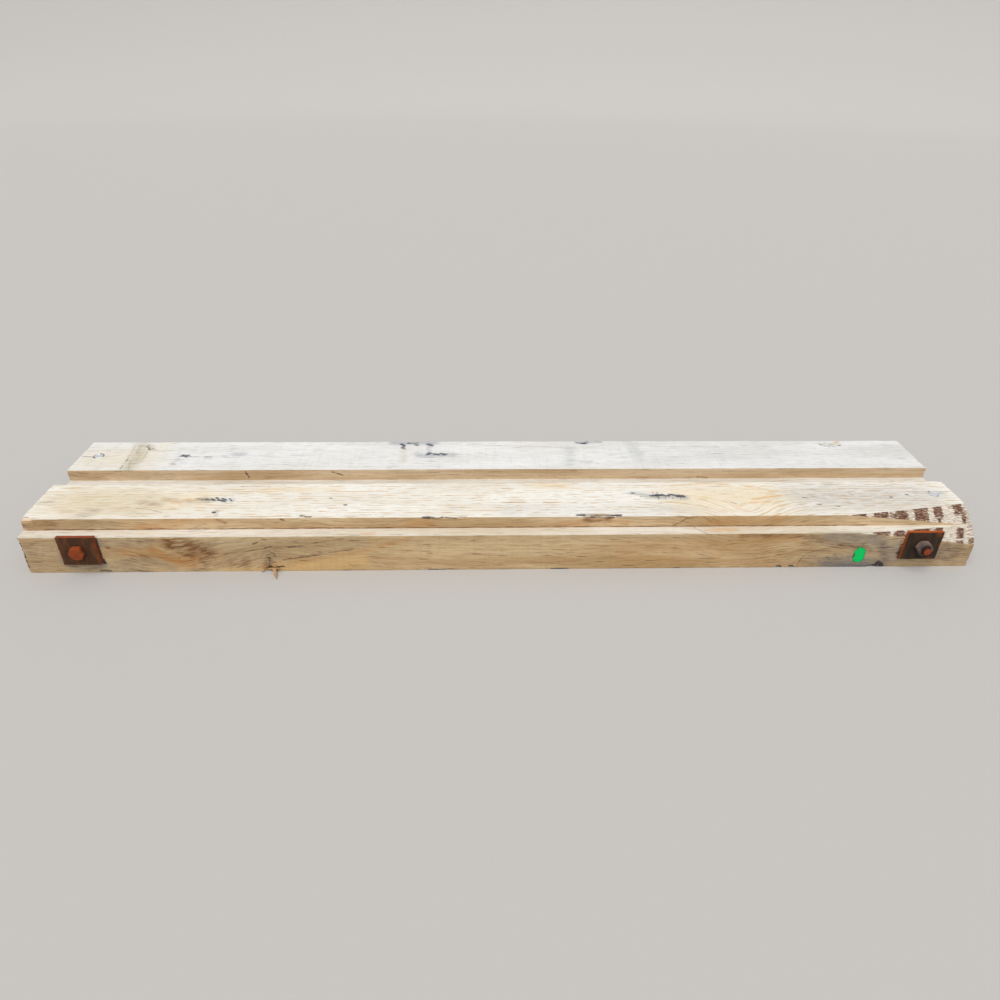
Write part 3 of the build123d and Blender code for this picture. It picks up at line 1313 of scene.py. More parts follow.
@dataclass(frozen=True)
class HexNut(Fastener):
    """The tie bolt's nut, bevelled on both faces."""

    thickness: float = 21.5
    clearance: float = 0.1
    mouth: float = 1.2

    def build(
        self, node: str, seat: Vector, outward: int, finish: bpy.types.Material
    ) -> bpy.types.Object:
        """Model and dress one nut.

        Args:
            node: The CAD node that it stands for.
            seat: Where it meets the plate.
            outward: 1 where it looks towards +Y, or -1.
            finish: Its rust.

        Returns:
            The finished piece.
        """
        hole = self.thread_radius + self.clearance
        outline = [
            (hole, self.mouth),
            (hole + self.mouth, 0.0),
            *reversed(self.rim(0.0, -1)),
            *self.rim(self.thickness, 1),
            (hole + self.mouth, self.thickness),
            (hole, self.thickness - self.mouth),
            (hole, self.mouth),
        ]
        piece = spin_outline(node + "_steel", outline, seat, outward)
        self.cut_flats(piece, seat)
        paint(piece, "fresh", self.grime_and_shade(coordinates(piece), seat, outward))
        dress(piece, finish, 30)
        return hand_over(piece, node)

    def grime_and_shade(self, places: np.ndarray, seat: Vector, outward: int) -> np.ndarray:
        """Little fresh rust on the flats, grime on the outer face, and painted shade low down."""
        out = outward * (places[:, 1] - seat.y) / MM
        low = ease((seat.z - places[:, 2]) / MM, 0, 16)
        # The term in low is painted shade on the nut's lower side.
        return 0.15 + 0.15 * ripple(places, (9, 9, 9), 6) - 0.55 * ease(out, 19, 21) - 0.35 * low


@dataclass(frozen=True)
class MarkingNail:
    """A marking nail whose broad head is stamped with a plain raised rim."""

    head_radius: float = 12.0
    head_thickness: float = 3.0
    shank_radius: float = 3.0
    length: float = 50.0
    point: float = 9.0

    def build(self, node: str, finish: bpy.types.Material) -> bpy.types.Object:
        """Model and dress one nail.

        Args:
            node: The CAD node that it stands for.
            finish: Its metal.

        Returns:
            The finished piece.
        """
        low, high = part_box(node)
        crown = Vector(((low.x + high.x) / 2, (low.y + high.y) / 2, high.z))
        outline = [
            (0.0, -0.25),
            (4.0, -0.3),
            (8.6, -0.6),
            (9.2, -0.1),
            (10.4, -0.15),
            (self.head_radius - 0.3, -0.9),
            (self.head_radius, -1.3),
            (self.head_radius - 0.2, -self.head_thickness),
            (self.shank_radius, -self.head_thickness),
            (self.shank_radius, self.point - self.length),
            (0.0, -self.length),
        ]
        piece = spin_outline(node + "_metal", outline, Vector((0, 0, 0)), 1)
        bpy.ops.mesh.select_all(action="SELECT")
        bpy.ops.transform.rotate(value=-math.pi / 2, orient_axis="X", center_override=(0, 0, 0))
        bpy.ops.transform.translate(value=crown)
        bpy.ops.object.mode_set(mode="OBJECT")
        dress(piece, finish, 40)
        return hand_over(piece, node)


# The stage


@dataclass(frozen=True)
class Studio:
    """A pale floor that curves up far away, a white sky and one broad soft light overhead."""

    floor_radius: float = 14.0
    rim_height: float = 9.0
    rim_steps: int = 12
    floor_colour: str = "#c4c1bd"
    sky_colour: tuple[float, float, float, float] = (0.97, 0.98, 1.0, 1.0)
    sky_strength: float = 0.55
    lamp_strength: float = 1.95
    lamp_width: float = 55.0
    lamp_turn: Point = (27.0, -6.0, 0.0)
    eye: Point = (-0.0785, -1.8823, 1.2363)
    eye_turn: Point = (31.8626, 2.0045, -0.7914)
    focal_length: float = 26.31

    def build(self) -> None:
        """Set up the floor, the sky, the light and the camera."""
        self.lay_floor()
        self.light()
        self.place_camera()

    def lay_floor(self) -> None:
        """A round floor whose rim curves up all round."""
        ring = {"vertices": 96, "radius": self.floor_radius, "fill_type": "NGON"}
        bowl = start("studio_floor", bpy.ops.mesh.primitive_circle_add, **ring)
        pick(bowl, "EDGE", lambda e: True)
        for step in range(self.rim_steps):
            angle = math.pi / 2 * (step + 0.5) / self.rim_steps
            rise = self.rim_height * math.sin(angle) * math.pi / 2 / self.rim_steps
            spread = 1 + 0.5 * math.cos(angle) / self.rim_steps
            bpy.ops.mesh.extrude_edges_move(TRANSFORM_OT_translate={"value": (0, 0, rise)})
            bpy.ops.transform.resize(value=(spread, spread, 1))
        bpy.ops.object.mode_set(mode="OBJECT")
        bpy.ops.object.shade_smooth()
        surface = {"Base Color": linear(self.floor_colour), "Roughness": 0.9, "Specular IOR Level": 0.2}
        bowl.data.materials.append(Board("pale_floor").finish(surface))

    def light(self) -> None:
        """White light from all of the sky, and more of it from a wide source overhead."""
        world = bpy.data.worlds.new("white_sky")
        world.use_nodes = True
        background = world.node_tree.nodes["Background"]
        background.inputs["Color"].default_value = self.sky_colour
        background.inputs["Strength"].default_value = self.sky_strength
        bpy.context.scene.world = world
        lamp = bpy.data.lights.new("wide_overhead_light", "SUN")
        lamp.angle = math.radians(self.lamp_width)
        lamp.energy = self.lamp_strength
        holder = bpy.data.objects.new("wide_overhead_light", lamp)
        holder.rotation_euler = [math.radians(angle) for angle in self.lamp_turn]
        bpy.context.scene.collection.objects.link(holder)

    def place_camera(self) -> None:
        """Stand in front, a little to the left, looking down as the photographer did."""
        pitch, yaw, roll = (math.radians(angle) for angle in self.eye_turn)
        lens = bpy.data.cameras.new("camera")
        lens.sensor_width = 36.0
        lens.lens = self.focal_length
        eye = bpy.data.objects.new("camera", lens)
        turn = Matrix.Rotation(-yaw, 4, "Z") @ Matrix.Rotation(math.pi / 2 - pitch, 4, "X")
        eye.matrix_world = Matrix.Translation(self.eye) @ turn @ Matrix.Rotation(-roll, 4, "Z")
        bpy.context.scene.collection.objects.link(eye)
        bpy.context.scene.camera = eye


# Where the detail is, in millimetres

FRONT_NAIL: Point = (1241, -111, 150)
REAR_NAIL: Point = (-1245, 132, 150)


@dataclass(frozen=True)
class Flat:
    """A flat face that marks lie on: a top at one height, or a side at one distance."""

    y: float | None = None
    z: float | None = None

    def place(self, x: float, across: float) -> Point:
        """A place on the face: across is its Y on a top, and its Z on a side."""
        return (x, across, self.z) if self.y is None else (x, self.y, across)

    def stains(self, rows: dict[Mark, Sequence[Sequence[float]]]) -> list[Stain]:
        """Lay stains on this face.

        Args:
            rows: For each mark its stains: reach, strength, then X and across of each point.

        Returns:
            The stains.
        """
        return [
            Stain(mark, [self.place(*at) for at in zip(path[::2], path[1::2])], reach, strength)
            for mark, marks in rows.items()
            for reach, strength, *path in marks
        ]


RIDGE = Flat(z=150)
LEDGES = Flat(z=115)
FRONT_SIDE = Flat(y=-260)
FRONT_RISER = Flat(y=-223)
REAR_RISER = Flat(y=41)
REAR_SIDE = Flat(y=260)


def arc(middle: Point, along: float, up: float, first: float, last: float) -> list[Point]:
    """Points along an arc on the front face, from one angle to another in degrees."""
    x, y, z = middle
    angles = np.radians(np.linspace(first, last, 9))
    return [(x + along * math.cos(a), y, z + up * math.sin(a)) for a in angles]


def rim(middle: Point, radius: float, first: float, last: float) -> list[Point]:
    """Points along an arc on a top, from one angle to another in degrees."""
    turn = arc(middle, radius, radius, first, last)
    return [(x, middle[1] + z - middle[2], middle[2]) for x, _, z in turn]


FRONT_TOP = RIDGE.stains({
    Mark.GREY: [
        (9, 0.7, -1293, -140, -1250, -132), (26, 0.35, -1020, -190, -1000, -100),
        (11, 0.85, -864, -123, -820, -129), (75, 0.35, -1190, -120, -1010, -140),
        (13, 0.5, 940, -55, 955, -55),
    ],
    Mark.OCHRE: [
        (80, 0.8, -1200, -131, -1000, -131), (50, 0.85, -985, -150, -850, -120),
        (18, 0.6, -700, -75, -480, -70), (24, 0.75, 91, -52, 174, -60), (90, 0.8, 520, -130, 740, -130),
    ],
    Mark.BROWN: [
        (20, 0.5, -1150, -205, -1120, -180), (14, 0.5, -950, -124, -880, -140, -835, -134),
        (2.5, 0.8, -1015, -168, -975, -178, -938, -192), (8, 0.5, -793, -186, -786, -205),
        (16, 0.5, -1010, -140, -960, -150), (3, 0.7, -760, -55, -676, -56), (8, 1.0, 205, -217, 300, -218),
        (80, 0.26, 860, -120, 1180, -125), (4, 0.8, 908, -118, 925, -115, 940, -130),
        (4, 0.8, 992, -101, 1000, -119), (4, 1.0, 1180, -122, 1190, -122),
    ],
    Mark.TANNIN: [
        (3.5, 0.75, -841, -123, -829, -129), (4, 0.8, -824, -123, -810, -134),
        (4, 0.85, -811, -117, -803, -126), (4.5, 0.9, -803, -130, -783, -137),
        (4.5, 0.9, -794, -122, -784, -129), (3.5, 0.8, -775, -121, -766, -135),
        (5, 1.0, -801, -193, -797, -193), (4, 0.8, -495, -120, -490, -120),
        (4, 0.9, -450, -157, -445, -157), (4, 1.0, 363, -101, 369, -103), (3, 0.5, 384, -120, 412, -118),
        (6, 0.8, 412, -118, 444, -114), (8, 0.9, 432, -112, 450, -113), (5, 0.8, 450, -117, 466, -118),
        (8, 0.9, 468, -114, 484, -115), (8, 0.95, 490, -118, 506, -120), (5, 0.75, 190, -217, 210, -215),
        (5, 0.75, 288, -218, 312, -219), (4, 0.8, 1102, -131, 1108, -131),
        (4.5, 1.0, 1154, -118, 1160, -118),
    ],
    # Most of these torn marks line dents and chips, and darken them as painted shade.
    Mark.TORN: [
        (3, 0.5, -862, -122, -846, -125), (6, 0.7, -558, -211, -548, -214),
        (6, 0.75, -545, -218, -533, -216), (4, 0.5, -136, -222, -112, -222),
        (3.5, 0.5, 186, -209, 236, -212), (3, 0.6, 222, -212, 246, -213),
        (2.5, 0.55, -1297, -211, -1283, -213),
    ],
    Mark.BLUE: [
        (13, 0.55, -838, -127, -768, -129), (9, 0.7, 360, -102, 430, -114), (14, 0.6, 405, -124, 508, -128),
        # The first blue mark here, at X 430 to 455 and Y -187, is a painted shadow.
        (14, 0.35, 430, -186, 455, -188), (100, 0.22, 860, -130, 1190, -130),
        (50, 0.16, 0, -190, 500, -190), (15, 0.55, 1222, -112, 1264, -108),
    ],
    Mark.AMBER: [
        (6, 0.35, -962, -120, -900, -130, -860, -128), (7, 0.5, -930, -138, -905, -142),
        (10, 0.4, 110, -58, 165, -60), (5, 0.9, 238, -215, 272, -217), (8, 0.6, -1300, -218, -1280, -219),
        (5, 0.6, 562, -46, 606, -50), (5, 0.65, 616, -52, 654, -57), (4.5, 0.85, 692, -60, 742, -76),
        (3, 0.6, 700, -70, 722, -77), (5, 0.6, 762, -94, 790, -94), (3.5, 0.5, 748, -108, 776, -110),
        (4.5, 0.75, 700, -137, 737, -128, 784, -120), (3, 0.6, 716, -140, 752, -134),
        (5, 0.85, 688, -157, 744, -150), (9, 0.4, 640, -180, 668, -205), (8, 0.4, 575, -186, 604, -205),
    ],
}) + [
    # A dark arc round the nail's head: painted shadow at the rim of its sunk head.
    Stain(Mark.TANNIN, rim(FRONT_NAIL, 14.5, 120, 300), 3, 0.6),
    Stain(Mark.TANNIN, [(-227, -222, 150), (-216, -223, 149)], 6, 0.75),
    # These torn marks darken the chipped arris as painted shade in its dents.
    Stain(Mark.TORN, [(-214, -223, 149), (-186, -224, 149), (-176, -220, 150)], 5, 0.8),
    Stain(Mark.TORN, [(-168, -222, 150), (-140, -224, 149)], 6, 0.85),
    Stain(Mark.TORN, [(228, -221, 149), (262, -222, 147), (292, -221, 148)], 4.5, 0.8),
]
FRONT_TOP += [
    Stain(Mark.TORN, [(x, y, 150), (x + 12, y - 3, 150)], 2.4, 0.5)
    for x, y in (
        (822, -138), (849, -129), (855, -147), (880, -125), (904, -134), (969, -119), (961, -154),
        (999, -154), (889, -84), (947, -82), (875, -167), (924, -175), (1032, -130), (1060, -150),
    )
]
FRONT_TOP += [
    Stain(Mark.TANNIN, [(x, first, 150), (x - 3, last, 150)], 2.4, 0.5)
    for x, first, last in (
        (424, -98, -112), (436, -97, -134), (449, -101, -114), (455, -120, -136), (469, -102, -116),
        (476, -106, -137), (485, -103, -118), (492, -106, -124), (499, -110, -138), (508, -116, -134),
    )
]

FRONT_RISER_AND_LEDGE = FRONT_RISER.stains({
    Mark.AMBER: [
        (11, 0.5, -1000, 121, -906, 141, -782, 146), (9, 0.5, -960, 122, -880, 126),
        (12, 0.5, -270, 132, -200, 135), (11, 0.5, 150, 124, 207, 130, 252, 141, 330, 128),
        (14, 0.35, 560, 128, 760, 140),
    ],
    Mark.BROWN: [
        (5, 0.6, -780, 147, -760, 138), (12, 0.75, 215, 140, 275, 138),
        # The line along Z 116 from X -1290 to 1000 is painted shade in the step's inner corner.
        (2.5, 0.9, 455, 117, 477, 130, 493, 143, 520, 146), (3, 0.9, -1290, 116, -300, 116, 1000, 116),
        (20, 0.6, -1300, 133, -1220, 130),
    ],
    Mark.GREY: [
        (18, 0.5, -1215, 130, -1060, 134),
    ],
    Mark.TORN: [
        (3, 0.7, -610, 147, -602, 143),
    ],
}) + LEDGES.stains({
    Mark.AMBER: [
        (8, 0.55, 544, -242, 627, -240), (6, 0.5, -395, -246, -360, -245),
    ],
    Mark.TORN: [
        (2.5, 0.5, 517, -226, 530, -245, 545, -259),
    ],
    Mark.TANNIN: [
        (5, 0.5, -1160, -255, -1095, -255),
    ],
})

FRONT_FACE = FRONT_SIDE.stains({
    Mark.AMBER: [
        (60, 0.25, 330, 60, 720, 60), (14, 0.4, -1040, 70, -1000, 60, -950, 70),
        (14, 0.85, -954, 74, -917, 40, -880, 36, -842, 48), (14, 0.5, -890, 22, -846, 14),
        (8, 0.5, -576, 30, -528, 40, -455, 52, -348, 80, -262, 108), (9, 0.4, 690, 100, 780, 96, 845, 76),
    ],
    Mark.BROWN: [
        (60, 0.25, 700, 40, 890, 30), (50, 0.2, -1290, 80, -1220, 80), (50, 0.25, -1050, 60, -960, 50),
        (7, 1.0, -1074, 82, -1068, 82), (34, 0.3, -960, 62, -880, 40, -840, 30),
        (10, 0.5, -985, 104, -935, 104, -904, 91), (10, 1.0, -914, 92, -895, 74, -875, 62, -848, 54),
        (32, 1.0, -905, 98, -850, 84, -812, 66), (15, 0.7, -834, 62, -826, 20),
        (24, 0.6, -800, 34, -774, 30, -720, 28), (3, 0.6, -790, 50, -753, 62, -694, 71, -655, 76),
        (3, 0.9, -658, 108, -648, 104), (2.4, 0.45, -640, 82, -571, 82, -511, 96, -440, 106),
        (3, 0.55, -610, 38, -555, 46, -501, 58, -420, 72), (5, 0.8, -646, 46, -640, 20),
        (12, 0.95, -660, 20, -640, 12), (11, 0.7, 640, 110, 756, 111, 791, 108, 843, 98, 880, 88),
        (9, 1.0, 918, 76, 940, 73, 975, 66), (10, 0.5, 843, 96, 918, 80), (8, 0.6, 985, 72, 1010, 56),
        (2.4, 0.85, 817, 0, 816, 13, 823, 35, 837, 50, 863, 59, 896, 68, 918, 71),
        (12, 0.55, 1040, 76, 1050, 46, 1062, 20), (50, 0.48, 1205, 50, 1280, 60),
    ],
    Mark.TORN: [
        (2, 0.4, -1262, 78, -1215, 77), (2, 0.4, -1284, 60, -1246, 58), (2, 0.4, -1287, 97, -1258, 96),
        (2, 0.4, -768, 58, -753, 62), (2.2, 0.5, -701, 70, -680, 72), (2.4, 0.65, -655, 79, -638, 82),
        (2.2, 0.45, -636, 71, -604, 75), (2.6, 0.65, -593, 80, -571, 81), (2, 0.45, -564, 83, -549, 85),
        (2.4, 0.45, -530, 93, -513, 96), (2.8, 0.45, -610, 39, -590, 42), (3.2, 0.6, -577, 44, -557, 47),
        (2.4, 0.5, -553, 48, -529, 55), (3.2, 0.55, -524, 53, -507, 57), (2.4, 0.45, -501, 59, -479, 63),
        # The marks at X -668 to -612 darken the torn knot's hollows as painted shade.
        (6, 0.95, -668, 6, -652, 16, -640, 8), (3.5, 0.7, -644, 14, -612, 16),
        (2.4, 0.7, -648, 44, -650, 18), (2.2, 0.5, -640, 40, -630, 22), (2, 0.5, 136, 52, 158, 54),
        (2, 0.5, 164, 57, 182, 59), (4, 0.55, 924, 75, 945, 72),
    ],
    # The tannin lines along the plate washers' sides (X -1094, 1093 and 1193) and feet (Z 30) are partly iron
    # stain and partly painted shadow cast by the plates.
    Mark.TANNIN: [
        (4, 0.7, -1297, 20, -1299, 112), (4, 0.9, -1094, 115, -1095, 50), (6, 1.0, -1094, 44, -1092, 32),
        (3, 0.7, -1182, 30, -1100, 31), (3.5, 0.65, -1110, 6, -1082, 5), (5, 0.4, -1050, 0, -956, 0),
        (3.2, 0.65, -683, 92, -672, 96), (6, 0.6, 915, 0, 1050, 0), (8, 0.95, 1034, 2, 1042, 14, 1055, 4),
        (6, 1.0, 758, 1, 766, 1), (7, 1.0, 795, 3, 803, 2), (4, 0.9, 125, 1, 170, 1),
        (3, 0.8, -215, 1, -170, 1), (3, 0.5, 1092, 108, 1090, 84), (7, 0.75, 1094, 76, 1093, 54, 1096, 30),
        (4, 0.6, 1110, 30, 1180, 30), (5, 0.5, 1194, 96, 1193, 40),
    ],
    # The grey marks beside and below the plate washers (X -1197, X -1180 to -1000 low down, and round the
    # right plate's left side and foot) are partly grime and partly painted shadow of the plates.
    Mark.GREY: [
        (60, 0.55, -1290, 60, -1230, 70), (30, 0.6, -1290, 20, -1215, 30), (12, 0.9, -1197, 112, -1197, 32),
        (26, 0.85, -1180, 8, -1000, 14), (24, 0.8, -1070, 100, -960, 106),
        (13, 0.9, -1060, 30, -1000, 40, -938, 33, -912, 8), (40, 0.52, -800, 90, -600, 86, -400, 103),
        (34, 0.38, -740, 48, -600, 56, -500, 72), (18, 0.35, -320, 110, -100, 112, 600, 112),
        (30, 0.6, 868, 20, 894, 36, 944, 37, 1000, 90), (40, 0.9, 850, 106, 1000, 90, 1060, 60, 1040, 20),
        (44, 0.8, 860, 24, 1000, 30), (6, 0.7, 1001, 94, 1004, 70), (26, 0.8, 1074, 96, 1070, 20, 1180, 16),
        (60, 0.9, 1210, 40, 1290, 50),
    ],
    # The blue marks beside and under the plate washers (X -1088 and 1088, and under the left plate) are
    # partly iron stain and partly painted shadow of the plates.
    Mark.BLUE: [
        (10, 0.45, -1088, 112, -1086, 90), (13, 0.55, -1200, 40, -1190, 26, -1095, 22),
        (34, 0.5, 900, 108, 1010, 98, 1066, 60, 1060, 10), (32, 1.0, 905, 0, 969, 6, 1032, 2),
        (5, 0.75, 925, 2, 893, 34), (4, 0.65, 905, 0, 872, 24), (5, 0.55, 950, 4, 914, 44),
        (5, 0.55, 985, 4, 950, 36), (15, 0.6, 1088, 84, 1086, 50, 1092, 28), (34, 0.3, 1205, 50, 1230, 50),
    ],
    Mark.OCHRE: [
        (26, 0.9, -620, 12, -500, 20, -400, 34), (9, 0.8, -780, 6, -600, 8),
    ],
    Mark.PAINT: [
        (20, 1.0, 984, 32, 982, 51),
    ],
}) + [
    Stain(Mark.GREY, arc((-646, -260, 52), 14, 20, 0, 360), 12, 0.7),
    Stain(Mark.TANNIN, arc((983, -260, 42), 16, 24, 170, 255), 3.4, 0.9),
]
FRONT_FACE += [
    Stain(Mark.TORN, arc((-646, -260, 50), size, 1.5 * size, first, first + sweep), 1.8, 0.8 * strength)
    for size, first, sweep, strength in (
        (5, 20, 120, 0.8), (8, 150, 110, 0.8), (9, 290, 90, 0.7), (11, 40, 90, 0.8), (13, 190, 80, 0.7),
        (5, 200, 100, 0.8), (15, 80, 80, 0.7), (16, 320, 70, 0.6), (18, 210, 60, 0.6), (14, 0, 40, 0.7),
        (19, 110, 50, 0.5), (22, 30, 40, 0.5), (22, 160, 30, 0.5),
    )
]

REAR_TOP = RIDGE.stains({
    Mark.TANNIN: [
        (2, 0.8, -1292, 127, -1260, 126), (4, 0.45, -1146, 44, -1149, 109),
        (3, 0.75, -1100, 180, -1091, 178), (4.5, 0.75, -998, 130, -986, 127),
        (7, 0.95, -988, 134, -976, 124), (5, 0.85, -980, 132, -970, 137), (4, 0.7, -974, 126, -965, 130),
        (3, 0.5, -917, 123, -902, 123), (3, 0.45, -861, 127, -852, 127), (8, 0.85, -322, 206, -314, 192),
        (7, 0.8, -300, 214, -272, 216), (6, 0.75, -278, 202, -270, 196), (7, 0.7, -318, 178, -312, 174),
        (9, 0.8, -240, 204, -226, 194), (8, 0.8, -238, 138, -228, 146), (8, 0.9, -216, 138, -203, 134),
        (9, 0.85, -194, 140, -180, 134), (10, 0.85, 241, 216, 262, 210), (6, 0.8, 250, 218, 276, 219),
    ],
    Mark.BROWN: [
        (2, 0.6, -1293, 164, -1223, 166), (3, 0.5, -1149, 109, -1161, 204), (3, 0.6, -1122, 50, -1136, 100),
        (4, 0.5, -1136, 150, -1144, 200), (4, 0.5, -1142, 84, -1106, 88),
        (4, 0.45, -1102, 100, -1110, 178, -1122, 209), (8, 0.4, -993, 112, -999, 88),
        (9, 0.9, -1001, 80, -999, 78), (2, 0.7, -114, 200, 100, 188, 235, 177),
        (2, 0.8, 473, 183, 697, 182), (5, 0.8, 1060, 196, 1072, 198),
    ],
    Mark.OCHRE: [
        (95, 0.5, -1240, 110, -1130, 120), (8, 0.6, -1190, 131, -1184, 131),
        (34, 0.4, -1070, 46, -1080, 130, -1070, 215),
    ],
    Mark.GREY: [
        (28, 0.62, -1122, 50, -1125, 118, -1140, 205), (14, 0.6, -1118, 200, -1098, 172),
        (14, 0.3, -312, 170, -309, 90), (12, 0.35, 1036, 196, 1090, 198),
    ],
    # The marks at X 1028 to 1056 darken a dent as painted shade.
    Mark.TORN: [
        (3.5, 0.6, -1124, 194, -1112, 188), (4, 0.75, -1112, 182, -1104, 172),
        (3.5, 0.65, 1028, 200, 1040, 194), (3.5, 0.7, 1044, 186, 1056, 180), (3, 0.5, 1045, 205, 1052, 207),
        (3, 0.6, 1062, 178, 1076, 180), (4, 0.75, 1086, 186, 1094, 192),
    ],
    Mark.BLUE: [
        (6, 0.7, -962, 127, -945, 126), (5, 0.7, -920, 124, -901, 123), (5, 0.6, -866, 127, -852, 127),
        (16, 0.55, -830, 140, -812, 142), (16, 0.75, -350, 216, -216, 214), (8, 0.5, -236, 190, -232, 150),
        (16, 0.65, -262, 128, -158, 132), (8, 0.85, 262, 215, 318, 219), (22, 0.3, 215, 170, 203, 73),
        (6, 0.4, 196, 128, 222, 126), (10, 0.4, 240, 86, 268, 84), (26, 0.32, 414, 190, 424, 100),
        (9, 0.5, 404, 148, 446, 144), (110, 0.14, 500, 130, 1250, 130),
    ],
    Mark.AMBER: [
        (6, 1.0, 1082, 209, 1098, 214),
    ],
}) + REAR_RISER.stains({
    Mark.TORN: [
        (3.2, 0.9, -775, 144, -768, 124), (3, 0.6, -518, 143, -486, 131),
    ],
    Mark.BROWN: [
        (4, 0.95, -1156, 148, -1141, 148), (3, 0.9, 592, 120, 625, 119), (20, 0.35, -1300, 130, -1200, 130),
    ],
    Mark.GREY: [
        (16, 0.45, -1171, 140, -1000, 130),
    ],
}) + [
    # Dark arcs at the nail head's left and right: painted shadow at the rim of its sunk head.
    Stain(Mark.TANNIN, rim(REAR_NAIL, 14.5, -30, 90), 3, 0.8),
    Stain(Mark.TANNIN, rim(REAR_NAIL, 14.5, 150, 250), 3, 0.7),
]

REAR_FACE = REAR_SIDE.stains({
    Mark.GREY: [
        (34, 0.6, -700, 30, -300, 50), (34, 0.5, 230, 60, 380, 64),
    ],
    Mark.BROWN: [
        (16, 0.8, 260, 60, 330, 66),
    ],
    Mark.AMBER: [
        (12, 0.5, 420, 40, 760, 84),
    ],
    Mark.TANNIN: [
        (9, 0.6, 520, 4, 660, 4), (4, 0.6, -1299, 20, -1299, 110),
    ],
})
# Dark lines along the rear plate washers' outer sides: partly iron stain, partly painted shadow cast by the
# plates.
REAR_FACE += [
    Stain(Mark.TANNIN, [(1182 * end, 260, 112), (1184 * end, 260, 30)], 8, 0.7) for end in (-1, 1)
]
# Dark lines along the rear plate washers' inner sides: partly iron stain, partly painted shadow cast by the
# plates.
REAR_FACE += [
    Stain(Mark.TANNIN, [(1095 * end, 260, 108), (1092 * end, 260, 34)], 6, 0.6) for end in (-1, 1)
]

FRONT_KNOTS = [
    Knot((-893, -260, 62), 75, 42, push=-26),
    Knot((-645, -260, 30), 60, 36, push=24),
    Knot((-470, -260, 60), 200, 60, push=16),
    Knot((-930, -260, 30), 60, 40, push=-14),
    Knot((962, -260, 40), 110, 40, spread=-0.9),
    Knot((840, -260, 50), 60, 40, push=14),
    Knot((-530, -215, 150), 35, 14, spread=-0.8),
    Knot((222, -223, 148), 60, 16, spread=-0.8),
    Knot((-940, -150, 150), 90, 36, push=12),
    Knot((-1110, -190, 150), 60, 26, spread=-0.7),
    Knot((655, -215, 150), 80, 60, push=-80),
    Knot((700, -60, 150), 110, 30, push=10),
]

REAR_KNOTS = [
    Knot((-220, 180, 150), 70, 26, spread=-0.8),
    Knot((-963, 120, 150), 50, 22, spread=-0.6),
    Knot((1050, 200, 150), 60, 20, spread=-0.8),
    Knot((290, 260, 62), 90, 36, spread=-0.9),
    Knot((-500, 260, 70), 240, 60, push=16),
]

FRONT_DENTS = [
    Dent([(-1300, -219, 150), (-1278, -221, 150)], 13, (0, 4, -7)),
    Dent([(-1300, -260, 108), (-1300, -260, 60)], 6, (2.5, 2, 0), 0.9),
    Dent([(-655, -260, 4), (-636, -260, 4)], 15, (0, 12, 4), 0.8),
    Dent([(-650, -260, 48), (-642, -260, 30)], 9, (0, 2.5, 0), 0.9),
    Dent([(196, -220, 150), (250, -222, 150), (303, -222, 149)], 8, (0, 3, -4), 0.9),
    Dent([(-212, -223, 150), (-120, -223, 150)], 6, (0, 2, -3), 0.9),
    Dent([(-540, -218, 150), (-518, -218, 150)], 8, (0, 2, -2.5), 0.8),
    Dent([(1020, -260, 0), (1036, -260, 0)], 8, (0, 3, 3), 0.6),
    Dent([(759, -260, 0), (765, -260, 0)], 6, (0, 3, 3), 0.5),
    Dent([(796, -260, 0), (802, -260, 0)], 6, (0, 3, 4), 0.5),
    Dent([(430, -118, 150), (494, -121, 150)], 5, (0, 0, -1.5), 0.9),
    Dent([FRONT_NAIL], 17, (0, 0, -2.6), 0.1),
]

REAR_DENTS = [
    Dent([(-300, 223, 150), (-255, 223, 150)], 7, (0, -3, -3), 0.8),
    Dent([(240, 223, 150), (262, 220, 150)], 9, (0, -4, -4), 0.7),
    Dent([(1300, 223, 150), (1300, 41, 150)], 7, (-4.5, 0, -1), 0.95),
    Dent([(1300, 41, 135), (1300, 41, 116)], 6, (-4, 0, 0), 0.9),
    Dent([(1020, 200, 150), (1060, 191, 150)], 6, (0, 0, -1.8), 0.9),
    Dent([(-966, 128, 150), (-958, 130, 150)], 6, (0, 0, -1.5), 0.8),
    Dent([REAR_NAIL], 17, (0, 0, -2.6), 0.1),
]

SPLINTERS = [
    Splinter((-642, -255, 9), (-626, -297, 3), 10, 4.5, curl=-1.0),
    Splinter((-658, -255, 6), (-618, -268, 15), 7, 4.0, curl=1.0),
    Splinter((-664, -255, 9), (-674, -268, 3), 6, 3.5),
    Splinter((-649, -256, 22), (-630, -264, 15), 4.5, 2.5, curl=1.0),
    Splinter((-654, -256, 14), (-668, -263, 15), 4.5, 2.5, curl=-1.0),
]

WANE_BARK = [
    (950, 995, 143, 152), (1013, 1059, 136, 152), (1064, 1081, 136, 146), (1081, 1117, 128, 152),
    (1134, 1177, 124, 152), (1196, 1222, 131, 152), (1200, 1211, 118, 132), (1257, 1286, 134, 152),
    (1274, 1288, 120, 134), (1004, 1051, 100, 117), (1063, 1097, 98, 117), (1120, 1172, 96, 117),
    (1182, 1210, 94, 117), (1250, 1271, 90, 114), (1246, 1270, 78, 85), (1285, 1299, 78, 92),
]


# The first patch, a dark ring round the bolt's head, is painted shadow on the plate; the other patches below
# 0 darken it below and beside the middle.
LEFT_PATCHES = [
    (0, 0, 26, -0.6), (47, 20, 10, 0.25), (47, -25, 9, 0.25), (-20, -42, 20, -0.5), (25, -20, 14, -0.3),
]

# The first patch, a dark ring round the nut, is painted shadow on the plate; the last darkens it at the left.
RIGHT_PATCHES = [
    (0, -4, 28, -0.7), (38, 38, 14, 0.35), (47, 4, 9, 0.3), (30, -43, 9, 0.4), (-36, -10, 26, -0.3),
]


